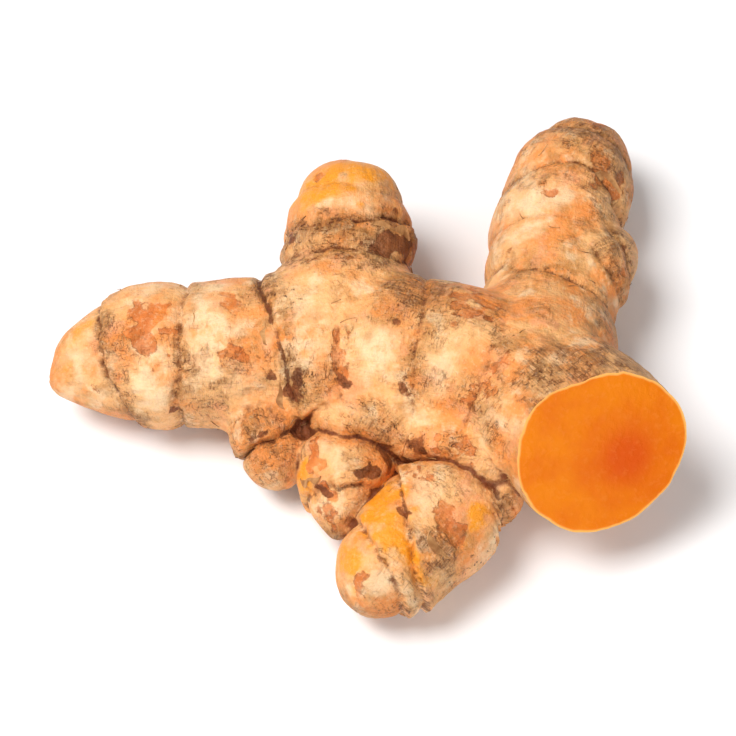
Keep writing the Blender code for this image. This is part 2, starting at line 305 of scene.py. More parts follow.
PATCHES = (
    # The stem's tip and its first lengths.
    Patch("stem", 2.0, -20, 2.6, 6.0, Tint.YELLOW, 0.35),
    Patch("stem", 6.4, 16, 2.0, 2.6, Tint.YELLOW, 0.55),
    Patch("stem", 5.0, -34, 4.5, 7.0, Tint.CREAM, 0.7),
    Patch("stem", 7.0, -70, 3.0, 3.4, Tint.ORANGE, 0.45),
    Patch("stem", 14.8, -4, 3.2, 4.2, Tint.ORANGE, 1.0),
    Patch("stem", 15.0, -48, 3.2, 6.0, Tint.CREAM, 1.0),
    Patch("stem", 14.4, 34, 2.4, 4.0, Tint.CREAM, 0.7),
    Patch("stem", 17.8, -82, 1.3, 2.0, Tint.BROWN, 0.6),
    Patch("stem", 22.4, -10, 3.6, 8.0, Tint.CREAM, 1.0),
    Patch("stem", 26.6, -64, 3.0, 4.0, Tint.CREAM, 0.5),
    Patch("stem", 26.0, 12, 1.8, 2.6, Tint.ORANGE, 0.65),
    Patch("stem", 26.2, -34, 1.9, 2.0, Tint.ORANGE, 1.0),
    Patch("stem", 23.5, -60, 4.0, 5.0, Tint.GREY, 0.45),
    Patch("stem", 30.4, -46, 1.0, 1.6, Tint.BROWN, 1.0),
    Patch("stem", 33.6, -60, 1.8, 4.0, Tint.BROWN, 0.95),
    Patch("stem", 33.0, 5, 2.8, 5.6, Tint.SPECK, 0.9),
    Patch("stem", 35.2, -16, 3.6, 6.0, Tint.CREAM, 1.0),
    Patch("stem", 35.5, -58, 2.4, 5.0, Tint.SPECK, 1.0),
    Patch("stem", 39.8, -25, 1.7, 3.2, Tint.ORANGE, 1.0),
    Patch("stem", 40.4, -42, 1.6, 3.4, Tint.ORANGE, 1.0),
    Patch("stem", 40.8, -56, 1.9, 2.6, Tint.BROWN, 0.9),
    Patch("stem", 44.4, -34, 2.8, 5.0, Tint.CREAM, 1.0),
    Patch("stem", 47.4, -6, 0.8, 0.9, Tint.BROWN, 0.8),
    Patch("stem", 45.0, 10, 3.0, 3.6, Tint.ORANGE, 0.35),
    Patch("stem", 50.6, -58, 1.3, 2.2, Tint.BROWN, 0.85),
    Patch("stem", 53.4, -68, 1.3, 2.4, Tint.ORANGE, 0.8),
    Patch("stem", 52.5, -64, 1.6, 3.0, Tint.SPECK, 1.0),
    Patch("stem", 56.4, -30, 3.0, 4.6, Tint.CREAM, 0.7),
    Patch("stem", 56.5, 24, 4.0, 5.5, Tint.ORANGE, 0.80),
    Patch("stem", 64.2, -24, 2.4, 7.0, Tint.ORANGE, 0.65),
    Patch("stem", 62.8, -52, 1.2, 3.6, Tint.ORANGE, 0.9),
    Patch("stem", 69.0, -52, 3.4, 5.0, Tint.CREAM, 0.85),
    Patch("stem", 70.0, -30, 4.0, 4.0, Tint.ORANGE, 0.35),
    Patch("stem", 66.5, 18, 5.5, 5.5, Tint.GREY, 0.9),
    Patch("stem", 72.0, 40, 4.0, 5.0, Tint.GREY, 1.0),
    Patch("stem", 71.5, 0, 2.6, 4.0, Tint.GREY, 0.7),
    Patch("stem", 62.6, 6, 1.8, 2.8, Tint.SPECK, 1.0),
    Patch("stem", 71.0, 8, 3.0, 4.0, Tint.SPECK, 0.8),
    Patch("stem", 47.4, 30, 5.0, 4.0, Tint.GREY, 0.95),
    Patch("stem", 43.0, 30, 3.0, 3.2, Tint.SPECK, 1.0),
    # The far knob.
    Patch("far_knob", 3.6, 10, 2.6, 8.0, Tint.YELLOW, 1.0),
    Patch("far_knob", 6.2, -36, 3.2, 4.6, Tint.YELLOW, 1.0),
    Patch("far_knob", 4.6, -40, 1.2, 2.4, Tint.ORANGE, 0.6),
    Patch("far_knob", 9.2, -5, 1.8, 6.0, Tint.CREAM, 0.7),
    Patch("far_knob", 13.2, -30, 1.6, 4.2, Tint.GREY, 0.9),
    Patch("far_knob", 13.4, 12, 1.7, 3.4, Tint.GREY, 0.7),
    Patch("far_knob", 12.8, 44, 2.8, 4.0, Tint.BROWN, 1.0),
    Patch("far_knob", 13.8, -52, 1.3, 1.4, Tint.BROWN, 0.8),
    Patch("far_knob", 17.6, -22, 1.4, 6.0, Tint.ORANGE, 0.55),
    Patch("far_knob", 17.0, 24, 2.0, 3.0, Tint.GREY, 0.9),
    # The far finger and its bud.
    Patch("far_finger", 6.0, 0, 3.2, 7.0, Tint.GREY, 0.65),
    Patch("far_finger", 2.6, -10, 1.8, 5.0, Tint.ORANGE, 0.55),
    Patch("far_finger", 10.0, 30, 2.6, 3.4, Tint.GREY, 0.6),
    Patch("far_finger", 12.6, 40, 2.8, 3.2, Tint.ORANGE, 1.0),
    Patch("far_finger", 15.4, 66, 1.5, 3.4, Tint.DENT, 1.0),
    Patch("far_finger", 15.4, 62, 1.4, 2.6, Tint.BROWN, 0.9),
    Patch("far_finger", 14.6, -2, 2.0, 5.0, Tint.GREY, 0.55),
    Patch("far_finger", 19.0, -10, 1.0, 1.2, Tint.ORANGE, 0.7),
    Patch("far_finger", 19.5, -26, 4.8, 5.0, Tint.CREAM, 0.85),
    Patch("far_finger", 26.0, -32, 2.8, 3.2, Tint.CREAM, 0.85),
    Patch("far_finger", 28.4, -48, 1.8, 2.4, Tint.ORANGE, 0.5),
    Patch("far_finger", 31.0, 12, 2.0, 4.0, Tint.SPECK, 1.0),
    Patch("far_finger", 32.0, 34, 3.0, 4.0, Tint.BROWN, 0.5),
    Patch("side_bud", 6.6, -4, 4.4, 6.0, Tint.GREY, 1.0),
    Patch("side_bud", 2.0, 20, 2.0, 3.0, Tint.BROWN, 0.5),
    Patch("side_bud", 4.6, 44, 1.8, 2.0, Tint.ORANGE, 0.7),
    # The near stub, bud and finger.
    Patch("near_stub", 9.0, 10, 3.0, 5.0, Tint.GREY, 0.8),
    Patch("near_stub", 2.6, 10, 2.6, 4.0, Tint.GREY, 0.65),
    Patch("near_stub", 6.4, 20, 1.2, 3.0, Tint.BROWN, 0.6),
    Patch("near_bud", 9.8, 10, 2.0, 2.8, Tint.CREAM, 0.7),
    Patch("near_bud", 8.2, -30, 1.1, 1.4, Tint.BROWN, 1.0),
    Patch("near_bud", 4.6, 26, 1.3, 1.6, Tint.BROWN, 0.8),
    Patch("near_bud", 4.2, 14, 2.0, 3.0, Tint.ORANGE, 0.85),
    Patch("near_bud", 6.8, 56, 2.2, 2.0, Tint.YELLOW, 0.8),
    Patch("near_bud", 1.6, 10, 1.6, 3.0, Tint.ORANGE, 0.7),
    Patch("near_bud", 10.4, -54, 3.4, 3.2, Tint.BROWN, 1.0),
    Patch("near_bud", 9.6, 44, 2.4, 1.8, Tint.ORANGE, 0.9),
    Patch("near_bud", 15.4, 30, 2.0, 4.0, Tint.CREAM, 0.6),
    Patch("near_bud", 15.0, -20, 2.2, 4.0, Tint.GREY, 0.7),
    Patch("near_bud", 15.4, -44, 2.0, 3.0, Tint.SPECK, 1.0),
    Patch("near_finger", 12.4, 52, 2.6, 4.6, Tint.YELLOW, 1.0),
    Patch("near_finger", 9.0, 18, 2.0, 4.0, Tint.YELLOW, 1.0),
    Patch("near_finger", 7.4, -18, 1.8, 4.4, Tint.YELLOW, 1.0),
    Patch("near_finger", 7.0, -52, 1.8, 3.4, Tint.YELLOW, 0.55),
    Patch("near_finger", 25.5, 40, 3.0, 4.0, Tint.SPECK, 1.0),
    Patch("near_finger", 26.0, 48, 3.0, 4.0, Tint.GREY, 0.6),
    Patch("near_finger", 25.0, 6, 2.4, 2.4, Tint.ORANGE, 0.9),
    Patch("near_finger", 25.0, -34, 3.4, 5.0, Tint.CREAM, 0.7),
    Patch("near_finger", 25.0, -62, 2.0, 3.0, Tint.ORANGE, 0.7),
    Patch("near_finger", 15.6, 10, 2.6, 3.4, Tint.CREAM, 0.55),
    Patch("near_finger", 14.4, -34, 2.0, 2.6, Tint.ORANGE, 0.8),
    Patch("near_finger", 3.0, 34, 2.6, 4.0, Tint.YELLOW, 0.85),
    Patch("near_finger", 3.4, -34, 1.8, 2.4, Tint.CREAM, 0.7),
    Patch("near_finger", 1.6, 0, 1.8, 2.6, Tint.ORANGE, 0.6),
    Patch("near_finger", 17.2, 16, 2.2, 3.0, Tint.ORANGE, 0.45),
    Patch("near_finger", 18.6, 34, 2.0, 2.0, Tint.CREAM, 0.7),
    Patch("near_finger", 15.4, -16, 1.3, 1.5, Tint.ORANGE, 0.9),
    Patch("near_finger", 17.4, -44, 1.6, 2.0, Tint.YELLOW, 0.9),
    Patch("near_finger", 12.0, -52, 2.8, 4.0, Tint.GREY, 1.0),
    Patch("near_finger", 11.2, 8, 0.9, 1.6, Tint.BROWN, 0.7),
    Patch("near_finger", 24.5, 55, 2.4, 4.0, Tint.BROWN, 0.8),
)


# The sides that the patches above leave bare: shoot, length, and the turns between which it is bare.
BARE_SIDES = (
    ("stem", 72.0, 80.0, 240.0),
    ("far_knob", 16.0, 80.0, 280.0),
    ("far_finger", 36.0, 70.0, 280.0),
    ("side_bud", 12.0, 80.0, 300.0),
    ("near_stub", 12.0, 80.0, 300.0),
    ("near_bud", 14.0, 80.0, 300.0),
    ("near_finger", 26.0, 100.0, 280.0),
)
HIDDEN_KINDS = (Tint.ORANGE, Tint.GREY, Tint.CREAM, Tint.BROWN, Tint.SPECK, Tint.CREAM)
HIDDEN_SEED = 23
HIDDEN_GAP = 3.0  # one patch for this much of a shoot's length
FEWEST_HIDDEN = 4


class Grain:
    """Smooth random numbers fixed in space, the same in each run."""

    CELLS = 256

    def __init__(self, seed: int) -> None:
        """Shuffle the tables that the numbers come from.

        Args:
            seed: what the shuffle starts from.
        """
        draw = np.random.default_rng(seed)
        self.order = draw.permutation(self.CELLS)
        self.value = draw.uniform(-1.0, 1.0, self.CELLS)

    def at(self, places: np.ndarray, size: float) -> np.ndarray:
        """Read the grain.

        Args:
            places: points in mm, one a row.
            size: the distance in mm over which the grain changes.

        Returns:
            One number from -1 to 1 for each point.
        """
        cell = places / size
        low = np.floor(cell).astype(int)
        part = cell - low
        part = part * part * (3 - 2 * part)
        total = np.zeros(len(places))
        for corner in itertools.product((0, 1), repeat=3):
            key = np.zeros(len(places), int)
            weight = np.ones(len(places))
            for axis, step in enumerate(corner):
                key = self.order[(key + low[:, axis] + step) % self.CELLS]
                weight = weight * (part[:, axis] if step else 1 - part[:, axis])
            total += weight * self.value[key]
        return total


def bump(distance: np.ndarray, width: float) -> np.ndarray:
    """A rounded bump of height 1 at distance 0 that fades over width."""
    return np.exp(-((distance / width) ** 2))


def ramp(value: np.ndarray, low: float, high: float) -> np.ndarray:
    """Rise smoothly from 0 at low to 1 at high."""
    t = np.clip((value - low) / (high - low), 0.0, 1.0)
    return t * t * (3 - 2 * t)


def select_none() -> None:
    """Deselect every object."""
    bpy.ops.object.select_all(action="DESELECT")


def make_active(obj: bpy.types.Object) -> None:
    """Select only this object and make it the active one.

    Args:
        obj: the object.
    """
    select_none()
    obj.select_set(True)
    bpy.context.view_layer.objects.active = obj


def joined(made: list) -> bpy.types.Object:
    """Join these objects into the first one and return it.

    Args:
        made: the objects, in order.

    Returns:
        The one object that holds them all.
    """
    make_active(made[0])
    for obj in made:
        obj.select_set(True)
    bpy.ops.object.join()
    return bpy.context.object


def turn_faces_out(obj: bpy.types.Object) -> None:
    """Make the faces of a closed mesh point outwards.

    Args:
        obj: the object.
    """
    make_active(obj)
    bpy.ops.object.mode_set(mode="EDIT")
    bpy.ops.mesh.select_all(action="SELECT")
    bpy.ops.mesh.normals_make_consistent(inside=False)
    bpy.ops.object.mode_set(mode="OBJECT")


def finish_piece(obj: bpy.types.Object, name: str) -> bpy.types.Object:
    """Name a piece and give it its body.

    Args:
        obj: the object.
        name: its name.

    Returns:
        The same piece.
    """
    obj.name = obj.data.name = name
    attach(obj, BODY)
    return obj


def apply_modifier(obj: bpy.types.Object, kind: str, **settings: object) -> None:
    """Add a modifier with these settings and apply it.

    Args:
        obj: the piece it works on.
        kind: the modifier's type.
        **settings: the modifier's own settings.
    """
    make_active(obj)
    modifier = obj.modifiers.new(kind.lower(), kind)
    for name, value in settings.items():
        setattr(modifier, name, value)
    bpy.ops.object.modifier_apply(modifier=modifier.name)


def points_of(obj: bpy.types.Object) -> np.ndarray:
    """The mesh's points in mm, one a row.

    Args:
        obj: the object.

    Returns:
        One row for each point.
    """
    flat = np.empty(len(obj.data.vertices) * 3)
    obj.data.vertices.foreach_get("co", flat)
    return flat.reshape(-1, 3) / MM


def normals_of(obj: bpy.types.Object) -> np.ndarray:
    """The mesh's outward direction at each point.

    Args:
        obj: the object.

    Returns:
        One row for each point.
    """
    flat = np.empty(len(obj.data.vertices) * 3, np.float32)
    obj.data.vertex_normals.foreach_get("vector", flat)
    return flat.reshape(-1, 3).astype(float)


def set_points(obj: bpy.types.Object, points: np.ndarray) -> None:
    """Put the mesh's points at these places, in mm."""
    obj.data.vertices.foreach_set("co", (points * MM).ravel())
    obj.data.update()


def write_attribute(obj: bpy.types.Object, name: str, values: np.ndarray) -> None:
    """Store one number, or one vector, for each point under this name.

    Args:
        obj: the object.
        name: its name.
        values: one number or one vector for each point.
    """
    kind, key = ("FLOAT", "value") if values.ndim == 1 else ("FLOAT_VECTOR", "vector")
    made = obj.data.attributes.new(name, kind, "POINT")
    made.data.foreach_set(key, values.astype(np.float32).ravel())


def linear(red: int, green: int, blue: int) -> tuple[float, float, float, float]:
    """Turn a screen colour of 0 to 255 into the linear colour that shaders take.

    Args:
        red: the red, 0 to 255.
        green: the green, 0 to 255.
        blue: the blue, 0 to 255.

    Returns:
        Red, green, blue and a full alpha.
    """
    shares = [channel / 255 for channel in (red, green, blue)]
    curve = [c / 12.92 if c <= 0.04045 else ((c + 0.055) / 1.055) ** 2.4 for c in shares]
    return (*curve, 1.0)


class Nodes:
    """A short way to write a material's nodes."""

    def __init__(self, name: str) -> None:
        """Make a material with its shader ready.

        Args:
            name: its name.
        """
        self.material = bpy.data.materials.new(name)
        self.material.use_nodes = True
        self.tree = self.material.node_tree
        self.shader = self.tree.nodes["Principled BSDF"]

    def feed(self, socket: bpy.types.NodeSocket, value: object) -> None:
        """Link a socket to another's output, or set it.

        Args:
            socket: the input.
            value: a number, a colour or another node's output.
        """
        if isinstance(value, bpy.types.NodeSocket):
            self.tree.links.new(value, socket)
        else:
            socket.default_value = value

    def attribute(self, name: str) -> bpy.types.Node:
        """Read one of the piece's own attributes.

        Args:
            name: its name.

        Returns:
            The node that reads it.
        """
        node = self.tree.nodes.new("ShaderNodeAttribute")
        node.attribute_name = name
        return node

    def value(self, name: str) -> bpy.types.NodeSocket:
        """The number that an attribute holds."""
        return self.attribute(name).outputs["Fac"]

    def place(self) -> bpy.types.NodeSocket:
        """The piece's Object coordinates."""
        return self.tree.nodes.new("ShaderNodeTexCoord").outputs["Object"]

    def scaled(self, vector: bpy.types.NodeSocket, scale: tuple) -> bpy.types.NodeSocket:
        """Stretch a vector by its own share along each axis.

        Args:
            vector: the vector to start from.
            scale: cells to a unit, or one share for each axis.

        Returns:
            The stretched vector.
        """
        node = self.tree.nodes.new("ShaderNodeMapping")
        self.feed(node.inputs["Vector"], vector)
        node.inputs["Scale"].default_value = scale
        return node.outputs["Vector"]

    def noise(
        self, vector: bpy.types.NodeSocket, scale: float, detail: float = 3.0, rough: float = 0.55
    ) -> bpy.types.NodeSocket:
        """A noise from 0 to 1 with this many cells to a unit.

        Args:
            vector: the vector to start from.
            scale: cells to a unit, or one share for each axis.
            detail: how many finer layers the noise has.
            rough: how strong the finer layers are.

        Returns:
            The noise.
        """
        node = self.tree.nodes.new("ShaderNodeTexNoise")
        self.feed(node.inputs["Vector"], vector)
        node.inputs["Scale"].default_value = scale
        node.inputs["Detail"].default_value = detail
        node.inputs["Roughness"].default_value = rough
        return node.outputs["Fac"]

    def math(self, kind: str, first: object, second: object = 0.0) -> bpy.types.NodeSocket:
        """One sum on two numbers.

        Args:
            kind: which sum.
            first: the first number.
            second: the second number.

        Returns:
            The result.
        """
        node = self.tree.nodes.new("ShaderNodeMath")
        node.operation = kind
        self.feed(node.inputs[0], first)
        self.feed(node.inputs[1], second)
        return node.outputs[0]

    def plus(self, first: object, second: object) -> bpy.types.NodeSocket:
        """Two numbers added."""
        return self.math("ADD", first, second)

    def minus(self, first: object, second: object) -> bpy.types.NodeSocket:
        """The first number less the second."""
        return self.math("SUBTRACT", first, second)

    def times(self, first: object, second: object) -> bpy.types.NodeSocket:
        """Two numbers multiplied."""
        return self.math("MULTIPLY", first, second)

    def larger(self, first: object, second: object) -> bpy.types.NodeSocket:
        """The larger of two numbers."""
        return self.math("MAXIMUM", first, second)

    def rest(self, share: object) -> bpy.types.NodeSocket:
        """What a share leaves of the whole."""
        return self.minus(1.0, share)

    def swing(self, noise: object, share: object = 1.0) -> bpy.types.NodeSocket:
        """How far a noise lies from its middle, times a share."""
        away = self.minus(noise, NOISE_MIDDLE)
        return away if share == 1.0 else self.times(away, share)

    def centred(self, noise: object, share: object) -> bpy.types.NodeSocket:
        """Draw a noise towards its middle where share is under 1."""
        return self.plus(self.swing(noise, share), NOISE_MIDDLE)

    def step(self, value: object, low: float, high: float, to: float = 1.0) -> bpy.types.NodeSocket:
        """Rise smoothly from 0 at low to its full share at high.

        Args:
            value: a number, a colour or another node's output.
            low: where it starts to rise.
            high: where it is full.
            to: its full share.

        Returns:
            The share.
        """
        node = self.tree.nodes.new("ShaderNodeMapRange")
        node.interpolation_type = "SMOOTHSTEP"
        self.feed(node.inputs["Value"], value)
        node.inputs["From Min"].default_value = low
        node.inputs["From Max"].default_value = high
        node.inputs["To Min"].default_value = 0.0
        node.inputs["To Max"].default_value = to
        return node.outputs["Result"]

    def mix(self, share: object, under: object, over: object) -> bpy.types.NodeSocket:
        """Lay one colour over another by this share.

        Args:
            share: how much of the upper colour shows.
            under: what lies under it.
            over: the upper colour.

        Returns:
            The mixed colour.
        """
        node = self.tree.nodes.new("ShaderNodeMix")
        node.data_type = "RGBA"
        self.feed(node.inputs[0], share)
        self.feed(node.inputs[6], under)
        self.feed(node.inputs[7], over)
        return node.outputs[2]

    def laid(
        self, tone: tuple, under: object, share: object, strength: float = 1.0
    ) -> bpy.types.NodeSocket:
        """Lay a finish's tone over a colour, by a share of this strength."""
        return self.mix(share if strength == 1.0 else self.times(share, strength), under, linear(*tone))

    def deepened(self, colour: object, power: float) -> bpy.types.NodeSocket:
        """A colour with its middle tones made deeper and richer.

        Args:
            colour: the colour so far.
            power: 1 leaves it as it is, and more makes it deeper.

        Returns:
            The deeper colour.
        """
        node = self.tree.nodes.new("ShaderNodeGamma")
        self.feed(node.inputs["Color"], colour)
        node.inputs["Gamma"].default_value = power
        return node.outputs["Color"]

    def relief(self, height: object, depth: float, under: object = None) -> bpy.types.NodeSocket:
        """Turn a height of 0 to 1 into a relief this deep, in metres.

        Args:
            height: the height, 0 to 1.
            depth: the depth in metres.
            under: what lies under it.

        Returns:
            The normal to feed to the shader or to the next relief.
        """
        node = self.tree.nodes.new("ShaderNodeBump")
        node.inputs["Distance"].default_value = depth
        self.feed(node.inputs["Height"], height)
        if under is not None:
            self.feed(node.inputs["Normal"], under)
        return node.outputs["Normal"]

    def soak(self, gloss: float, share: float, tints: tuple, reach: float) -> None:
        """Set the shader's gloss and how light soaks in.

        Args:
            gloss: the specular level.
            share: how much of the light soaks in.
            tints: how far each of red, green and blue goes, as a share of reach.
            reach: how deep the light goes, in metres.
        """
        self.shader.inputs["Specular IOR Level"].default_value = gloss
        self.shader.inputs["Subsurface Weight"].default_value = share
        self.shader.inputs["Subsurface Radius"].default_value = tints
        self.shader.inputs["Subsurface Scale"].default_value = reach


class SkinWeave:
    """The noises, patches and lines that the layers of the skin share."""

    # Cells of each noise to a metre.
    CLOUD = 130.0
    DRIFT = 330.0
    BLOOM = 240.0
    EDGE = 620.0
    FINE = 1600.0
    PARCH = 105.0

    # How far a noise is drawn out along the shoots and round them, in cells to a millimetre.
    ALONG = (0.45, 2.6, 2.6)
    AROUND = (2.6, 0.6, 0.6)
    CONTOUR = (1.1, 0.5, 0.5)

    INK_WIDTH = 0.030  # how wide the fine dark lines are, as a share of a noise's range

    def __init__(self, n: Nodes) -> None:
        """Read the attributes and lay the noises.

        Args:
            n: the material's nodes.
        """
        self.n = n
        self.place = n.place()
        self.strand = n.attribute("strand").outputs["Vector"]
        self.single = n.value("single")
        self.earth_and_ledge_shade = n.value("earth_and_ledge_shade")
        self.fibre = n.centred(self._threads(self.ALONG, 0.65), self.single)
        self.across = n.centred(self._threads(self.AROUND, 0.6), self.single)
        self.cloud = n.noise(self.place, self.CLOUD, 5.0, 0.6)
        self.drift = n.noise(self.place, self.DRIFT, 5.0, 0.65)
        self.bloom = n.noise(self.place, self.BLOOM, 4.0, 0.6)
        self.fine = n.noise(self.place, self.FINE, 3.0, 0.7)
        self.edge = n.noise(self.place, self.EDGE, 5.0, 0.72)
        self.yellow = self.torn("yellow", 0.15, 0.75)
        self.orange = self.torn("orange")
        self.brown = self.torn("brown")
        self.dry = self._dry()
        self.inked = self._inked()

    def _threads(self, scale: tuple, rough: float) -> bpy.types.NodeSocket:
        """A noise drawn out along the shoots or round them."""
        return self.n.noise(self.n.scaled(self.strand, scale), 1.0, 4.0, rough)

    def torn(self, name: str, low: float = 0.40, high: float = 0.56) -> bpy.types.NodeSocket:
        """A patch's share, with an edge that a noise tears."""
        return self.n.step(self.n.plus(self.n.value(name), self.n.swing(self.edge, 0.9)), low, high)

    def _dry(self) -> bpy.types.NodeSocket:
        """How dry the skin is: more at earthy places, less at waxy ones.

        Returns:
            A share from 0 to 1.
        """
        n = self.n
        earthy = n.larger(self.earth_and_ledge_shade, n.value("grey"))
        dry = n.plus(n.noise(self.place, self.PARCH, 4.0, 0.6), n.times(earthy, 0.35))
        waxy = n.larger(n.value("yellow"), n.times(n.value("cream"), 0.7))
        return n.step(n.minus(dry, n.times(waxy, 0.30)), 0.40, 0.66)

    def _inked(self) -> bpy.types.NodeSocket:
        """Fine broken dark lines that wander over the skin, most where it is dry.

        Returns:
            A share from 0 to 1.
        """
        n = self.n
        line = n.math("ABSOLUTE", n.swing(self._threads(self.CONTOUR, 0.6)))
        line = n.rest(n.step(line, 0.0, self.INK_WIDTH))
        line = n.times(line, n.times(self.single, n.step(self.edge, 0.44, 0.56)))
        return n.times(line, n.plus(n.times(self.dry, 0.85), 0.15))


@dataclass(frozen=True)
class SkinFinish:
    """The thin papery skin: cream to tan, torn, scarred and matted in places, with painted shade in its
    creases and dips.
    """

    base: tuple = (240, 184, 124)
    warm: tuple = (240, 154, 80)
    tan: tuple = (200, 144, 82)
    pink: tuple = (244, 172, 126)
    cream: tuple = (250, 222, 182)
    olive: tuple = (180, 126, 70)
    orange: tuple = (230, 136, 52)
    deep: tuple = (196, 94, 26)
    yellow: tuple = (244, 160, 38)
    grey: tuple = (162, 112, 66)
    scar: tuple = (98, 56, 24)
    brown: tuple = (148, 80, 36)
    shade: tuple = (122, 60, 22)
    depth: float = 1.10
    roughness: float = 0.52
    gloss: float = 0.35
    soaked: float = 0.12
    soak_tints: tuple = (1.0, 0.45, 0.15)
    soak_reach: float = 0.0012
    dot_scale: float = 2100.0  # cells to a metre
    # How deep each kind of relief is, in metres.
    fibre_depth: float = 0.00055
    across_depth: float = 0.00040
    edge_depth: float = 0.00035
    fine_depth: float = 0.00012
    ink_depth: float = 0.00015
    torn_depth: float = 0.00012

    def material(self) -> bpy.types.Material:
        """Mix the skin's colours by its patches and rings, with fine fibres over all.

        Returns:
            The finished material.
        """
        n = Nodes("turmeric_skin")
        weave = SkinWeave(n)
        colour = self._clean(n, weave)
        colour = self._patched(n, weave, colour)
        colour = self._dusted(n, weave, colour)
        colour = self._lined(n, weave, colour)
        colour = self._scarred(n, weave, colour)
        n.feed(n.shader.inputs["Base Color"], n.deepened(colour, self.depth))
        dull = n.plus(n.times(weave.fine, 0.22), self.roughness - 0.11)
        n.feed(n.shader.inputs["Roughness"], n.minus(dull, n.times(weave.yellow, 0.12)))
        n.feed(n.shader.inputs["Normal"], self._relief(n, weave))
        n.soak(self.gloss, self.soaked, self.soak_tints, self.soak_reach)
        return n.material

    def _clean(self, n: Nodes, weave: SkinWeave) -> bpy.types.NodeSocket:
        """The clean skin, in soft clouds of cream, tan and pink.

        Args:
            n: the material's nodes.
            weave: the noises and patches that the skin's layers share.

        Returns:
            The colour with this layer.
        """
        colour = n.laid(self.warm, linear(*self.base), n.step(weave.cloud, 0.40, 0.62))
        colour = n.laid(self.tan, colour, n.step(weave.drift, 0.48, 0.66, 0.60))
        colour = n.laid(self.pink, colour, n.step(weave.bloom, 0.54, 0.68, 0.55))
        colour = n.laid(self.cream, colour, n.step(n.rest(weave.bloom), 0.54, 0.68, 0.55))
        # The cream patches are rubbed pale skin and painted highlights.
        rubbed_and_highlight = n.times(n.step(n.value("cream"), 0.05, 0.9), n.step(weave.drift, 0.30, 0.58))
        return n.laid(self.cream, colour, rubbed_and_highlight, 0.75)

    def _patched(self, n: Nodes, weave: SkinWeave, colour: object) -> bpy.types.NodeSocket:
        """Young yellow skin, and places torn down to the orange with a dark fringe.

        Args:
            n: the material's nodes.
            weave: the noises and patches that the skin's layers share.
            colour: the colour so far.

        Returns:
            The colour with this layer.
        """
        colour = n.laid(self.yellow, colour, weave.yellow)
        burnt = n.times(weave.orange, n.step(weave.drift, 0.3, 0.6))
        colour = n.laid(self.orange, colour, weave.orange, 0.55)
        colour = n.laid(self.deep, colour, burnt, 0.55)
        fringe = n.times(n.times(weave.orange, n.rest(weave.orange)), 2.4)
        return n.laid(self.brown, colour, n.times(fringe, n.step(weave.drift, 0.42, 0.60)))

    def _dusted(self, n: Nodes, weave: SkinWeave, colour: object) -> bpy.types.NodeSocket:
        """Matted fibres, and the film at the rings: earth, and painted shade behind their ledges.

        Args:
            n: the material's nodes.
            weave: the noises and patches that the skin's layers share.
            colour: the colour so far.

        Returns:
            The colour with this layer.
        """
        matted = n.times(weave.torn("grey", 0.15, 0.75), n.step(weave.fibre, 0.30, 0.62))
        colour = n.laid(self.grey, colour, matted, 0.85)
        # The olive film is earth at the rings and painted shade behind their ledges.
        earth_and_ledge_shade = n.step(n.plus(weave.earth_and_ledge_shade, n.swing(weave.drift)), 0.02, 0.50)
        earth_and_ledge_shade = n.times(earth_and_ledge_shade, n.step(weave.edge, 0.34, 0.58))
        return n.laid(self.olive, colour, earth_and_ledge_shade, 0.85)

    def _lined(self, n: Nodes, weave: SkinWeave, colour: object) -> bpy.types.NodeSocket:
        """Streaks along and round the shoots, fine dark lines, and pale grains over them.

        Args:
            n: the material's nodes.
            weave: the noises and patches that the skin's layers share.
            colour: the colour so far.

        Returns:
            The colour with this layer.
        """
        streaks = n.larger(n.step(weave.fibre, 0.54, 0.74), n.step(weave.across, 0.56, 0.76))
        streaks = n.times(streaks, n.plus(n.times(weave.dry, 0.75), 0.25))
        colour = n.laid(self.brown, colour, streaks, 0.55)
        colour = n.laid(self.brown, colour, weave.inked, 0.80)
        return n.laid(self.cream, colour, n.step(weave.fine, 0.50, 0.78, 0.35))

    def _scarred(self, n: Nodes, weave: SkinWeave, colour: object) -> bpy.types.NodeSocket:
        """Ring scars, brown stains with painted shade in some folds, the specks of old roots, and painted
        shade in the dips and creases.

        Args:
            n: the material's nodes.
            weave: the noises and patches that the skin's layers share.
            colour: the colour so far.

        Returns:
            The colour with this layer.
        """
        tear = n.plus(n.swing(weave.edge), n.swing(weave.fibre, 0.5))
        scar = n.step(n.plus(n.value("scar"), n.times(tear, 1.3)), 0.40, 0.85)
        colour = n.laid(self.scar, colour, scar, 0.75)
        # The brown patches are stains, and in some folds painted shade.
        colour = n.laid(self.brown, colour, weave.brown, 0.85)
        deep_stain_and_shade = n.times(weave.brown, n.step(weave.drift, 0.42, 0.60))
        colour = n.laid(self.scar, colour, deep_stain_and_shade, 0.5)
        dots = n.step(n.noise(weave.place, self.dot_scale, 2.0), 0.60, 0.70)
        crowd = n.plus(n.larger(n.value("speck"), weave.earth_and_ledge_shade), weave.edge)
        colour = n.laid(self.scar, colour, n.times(dots, n.step(crowd, 0.62, 1.15)), 0.85)
        # Painted shade: the small dips in the skin are darkened brown.
        dip_shade = n.times(n.value("dip_shade"), n.step(weave.edge, 0.38, 0.62))
        colour = n.laid(self.brown, colour, dip_shade, 0.55)
        # Painted shade: the deep creases are darkened with the shade colour, where shade would fall.
        crease_shade = n.step(n.plus(n.value("crease_shade"), n.swing(weave.edge)), 0.22, 0.95)
        return n.laid(self.shade, colour, crease_shade, 0.92)

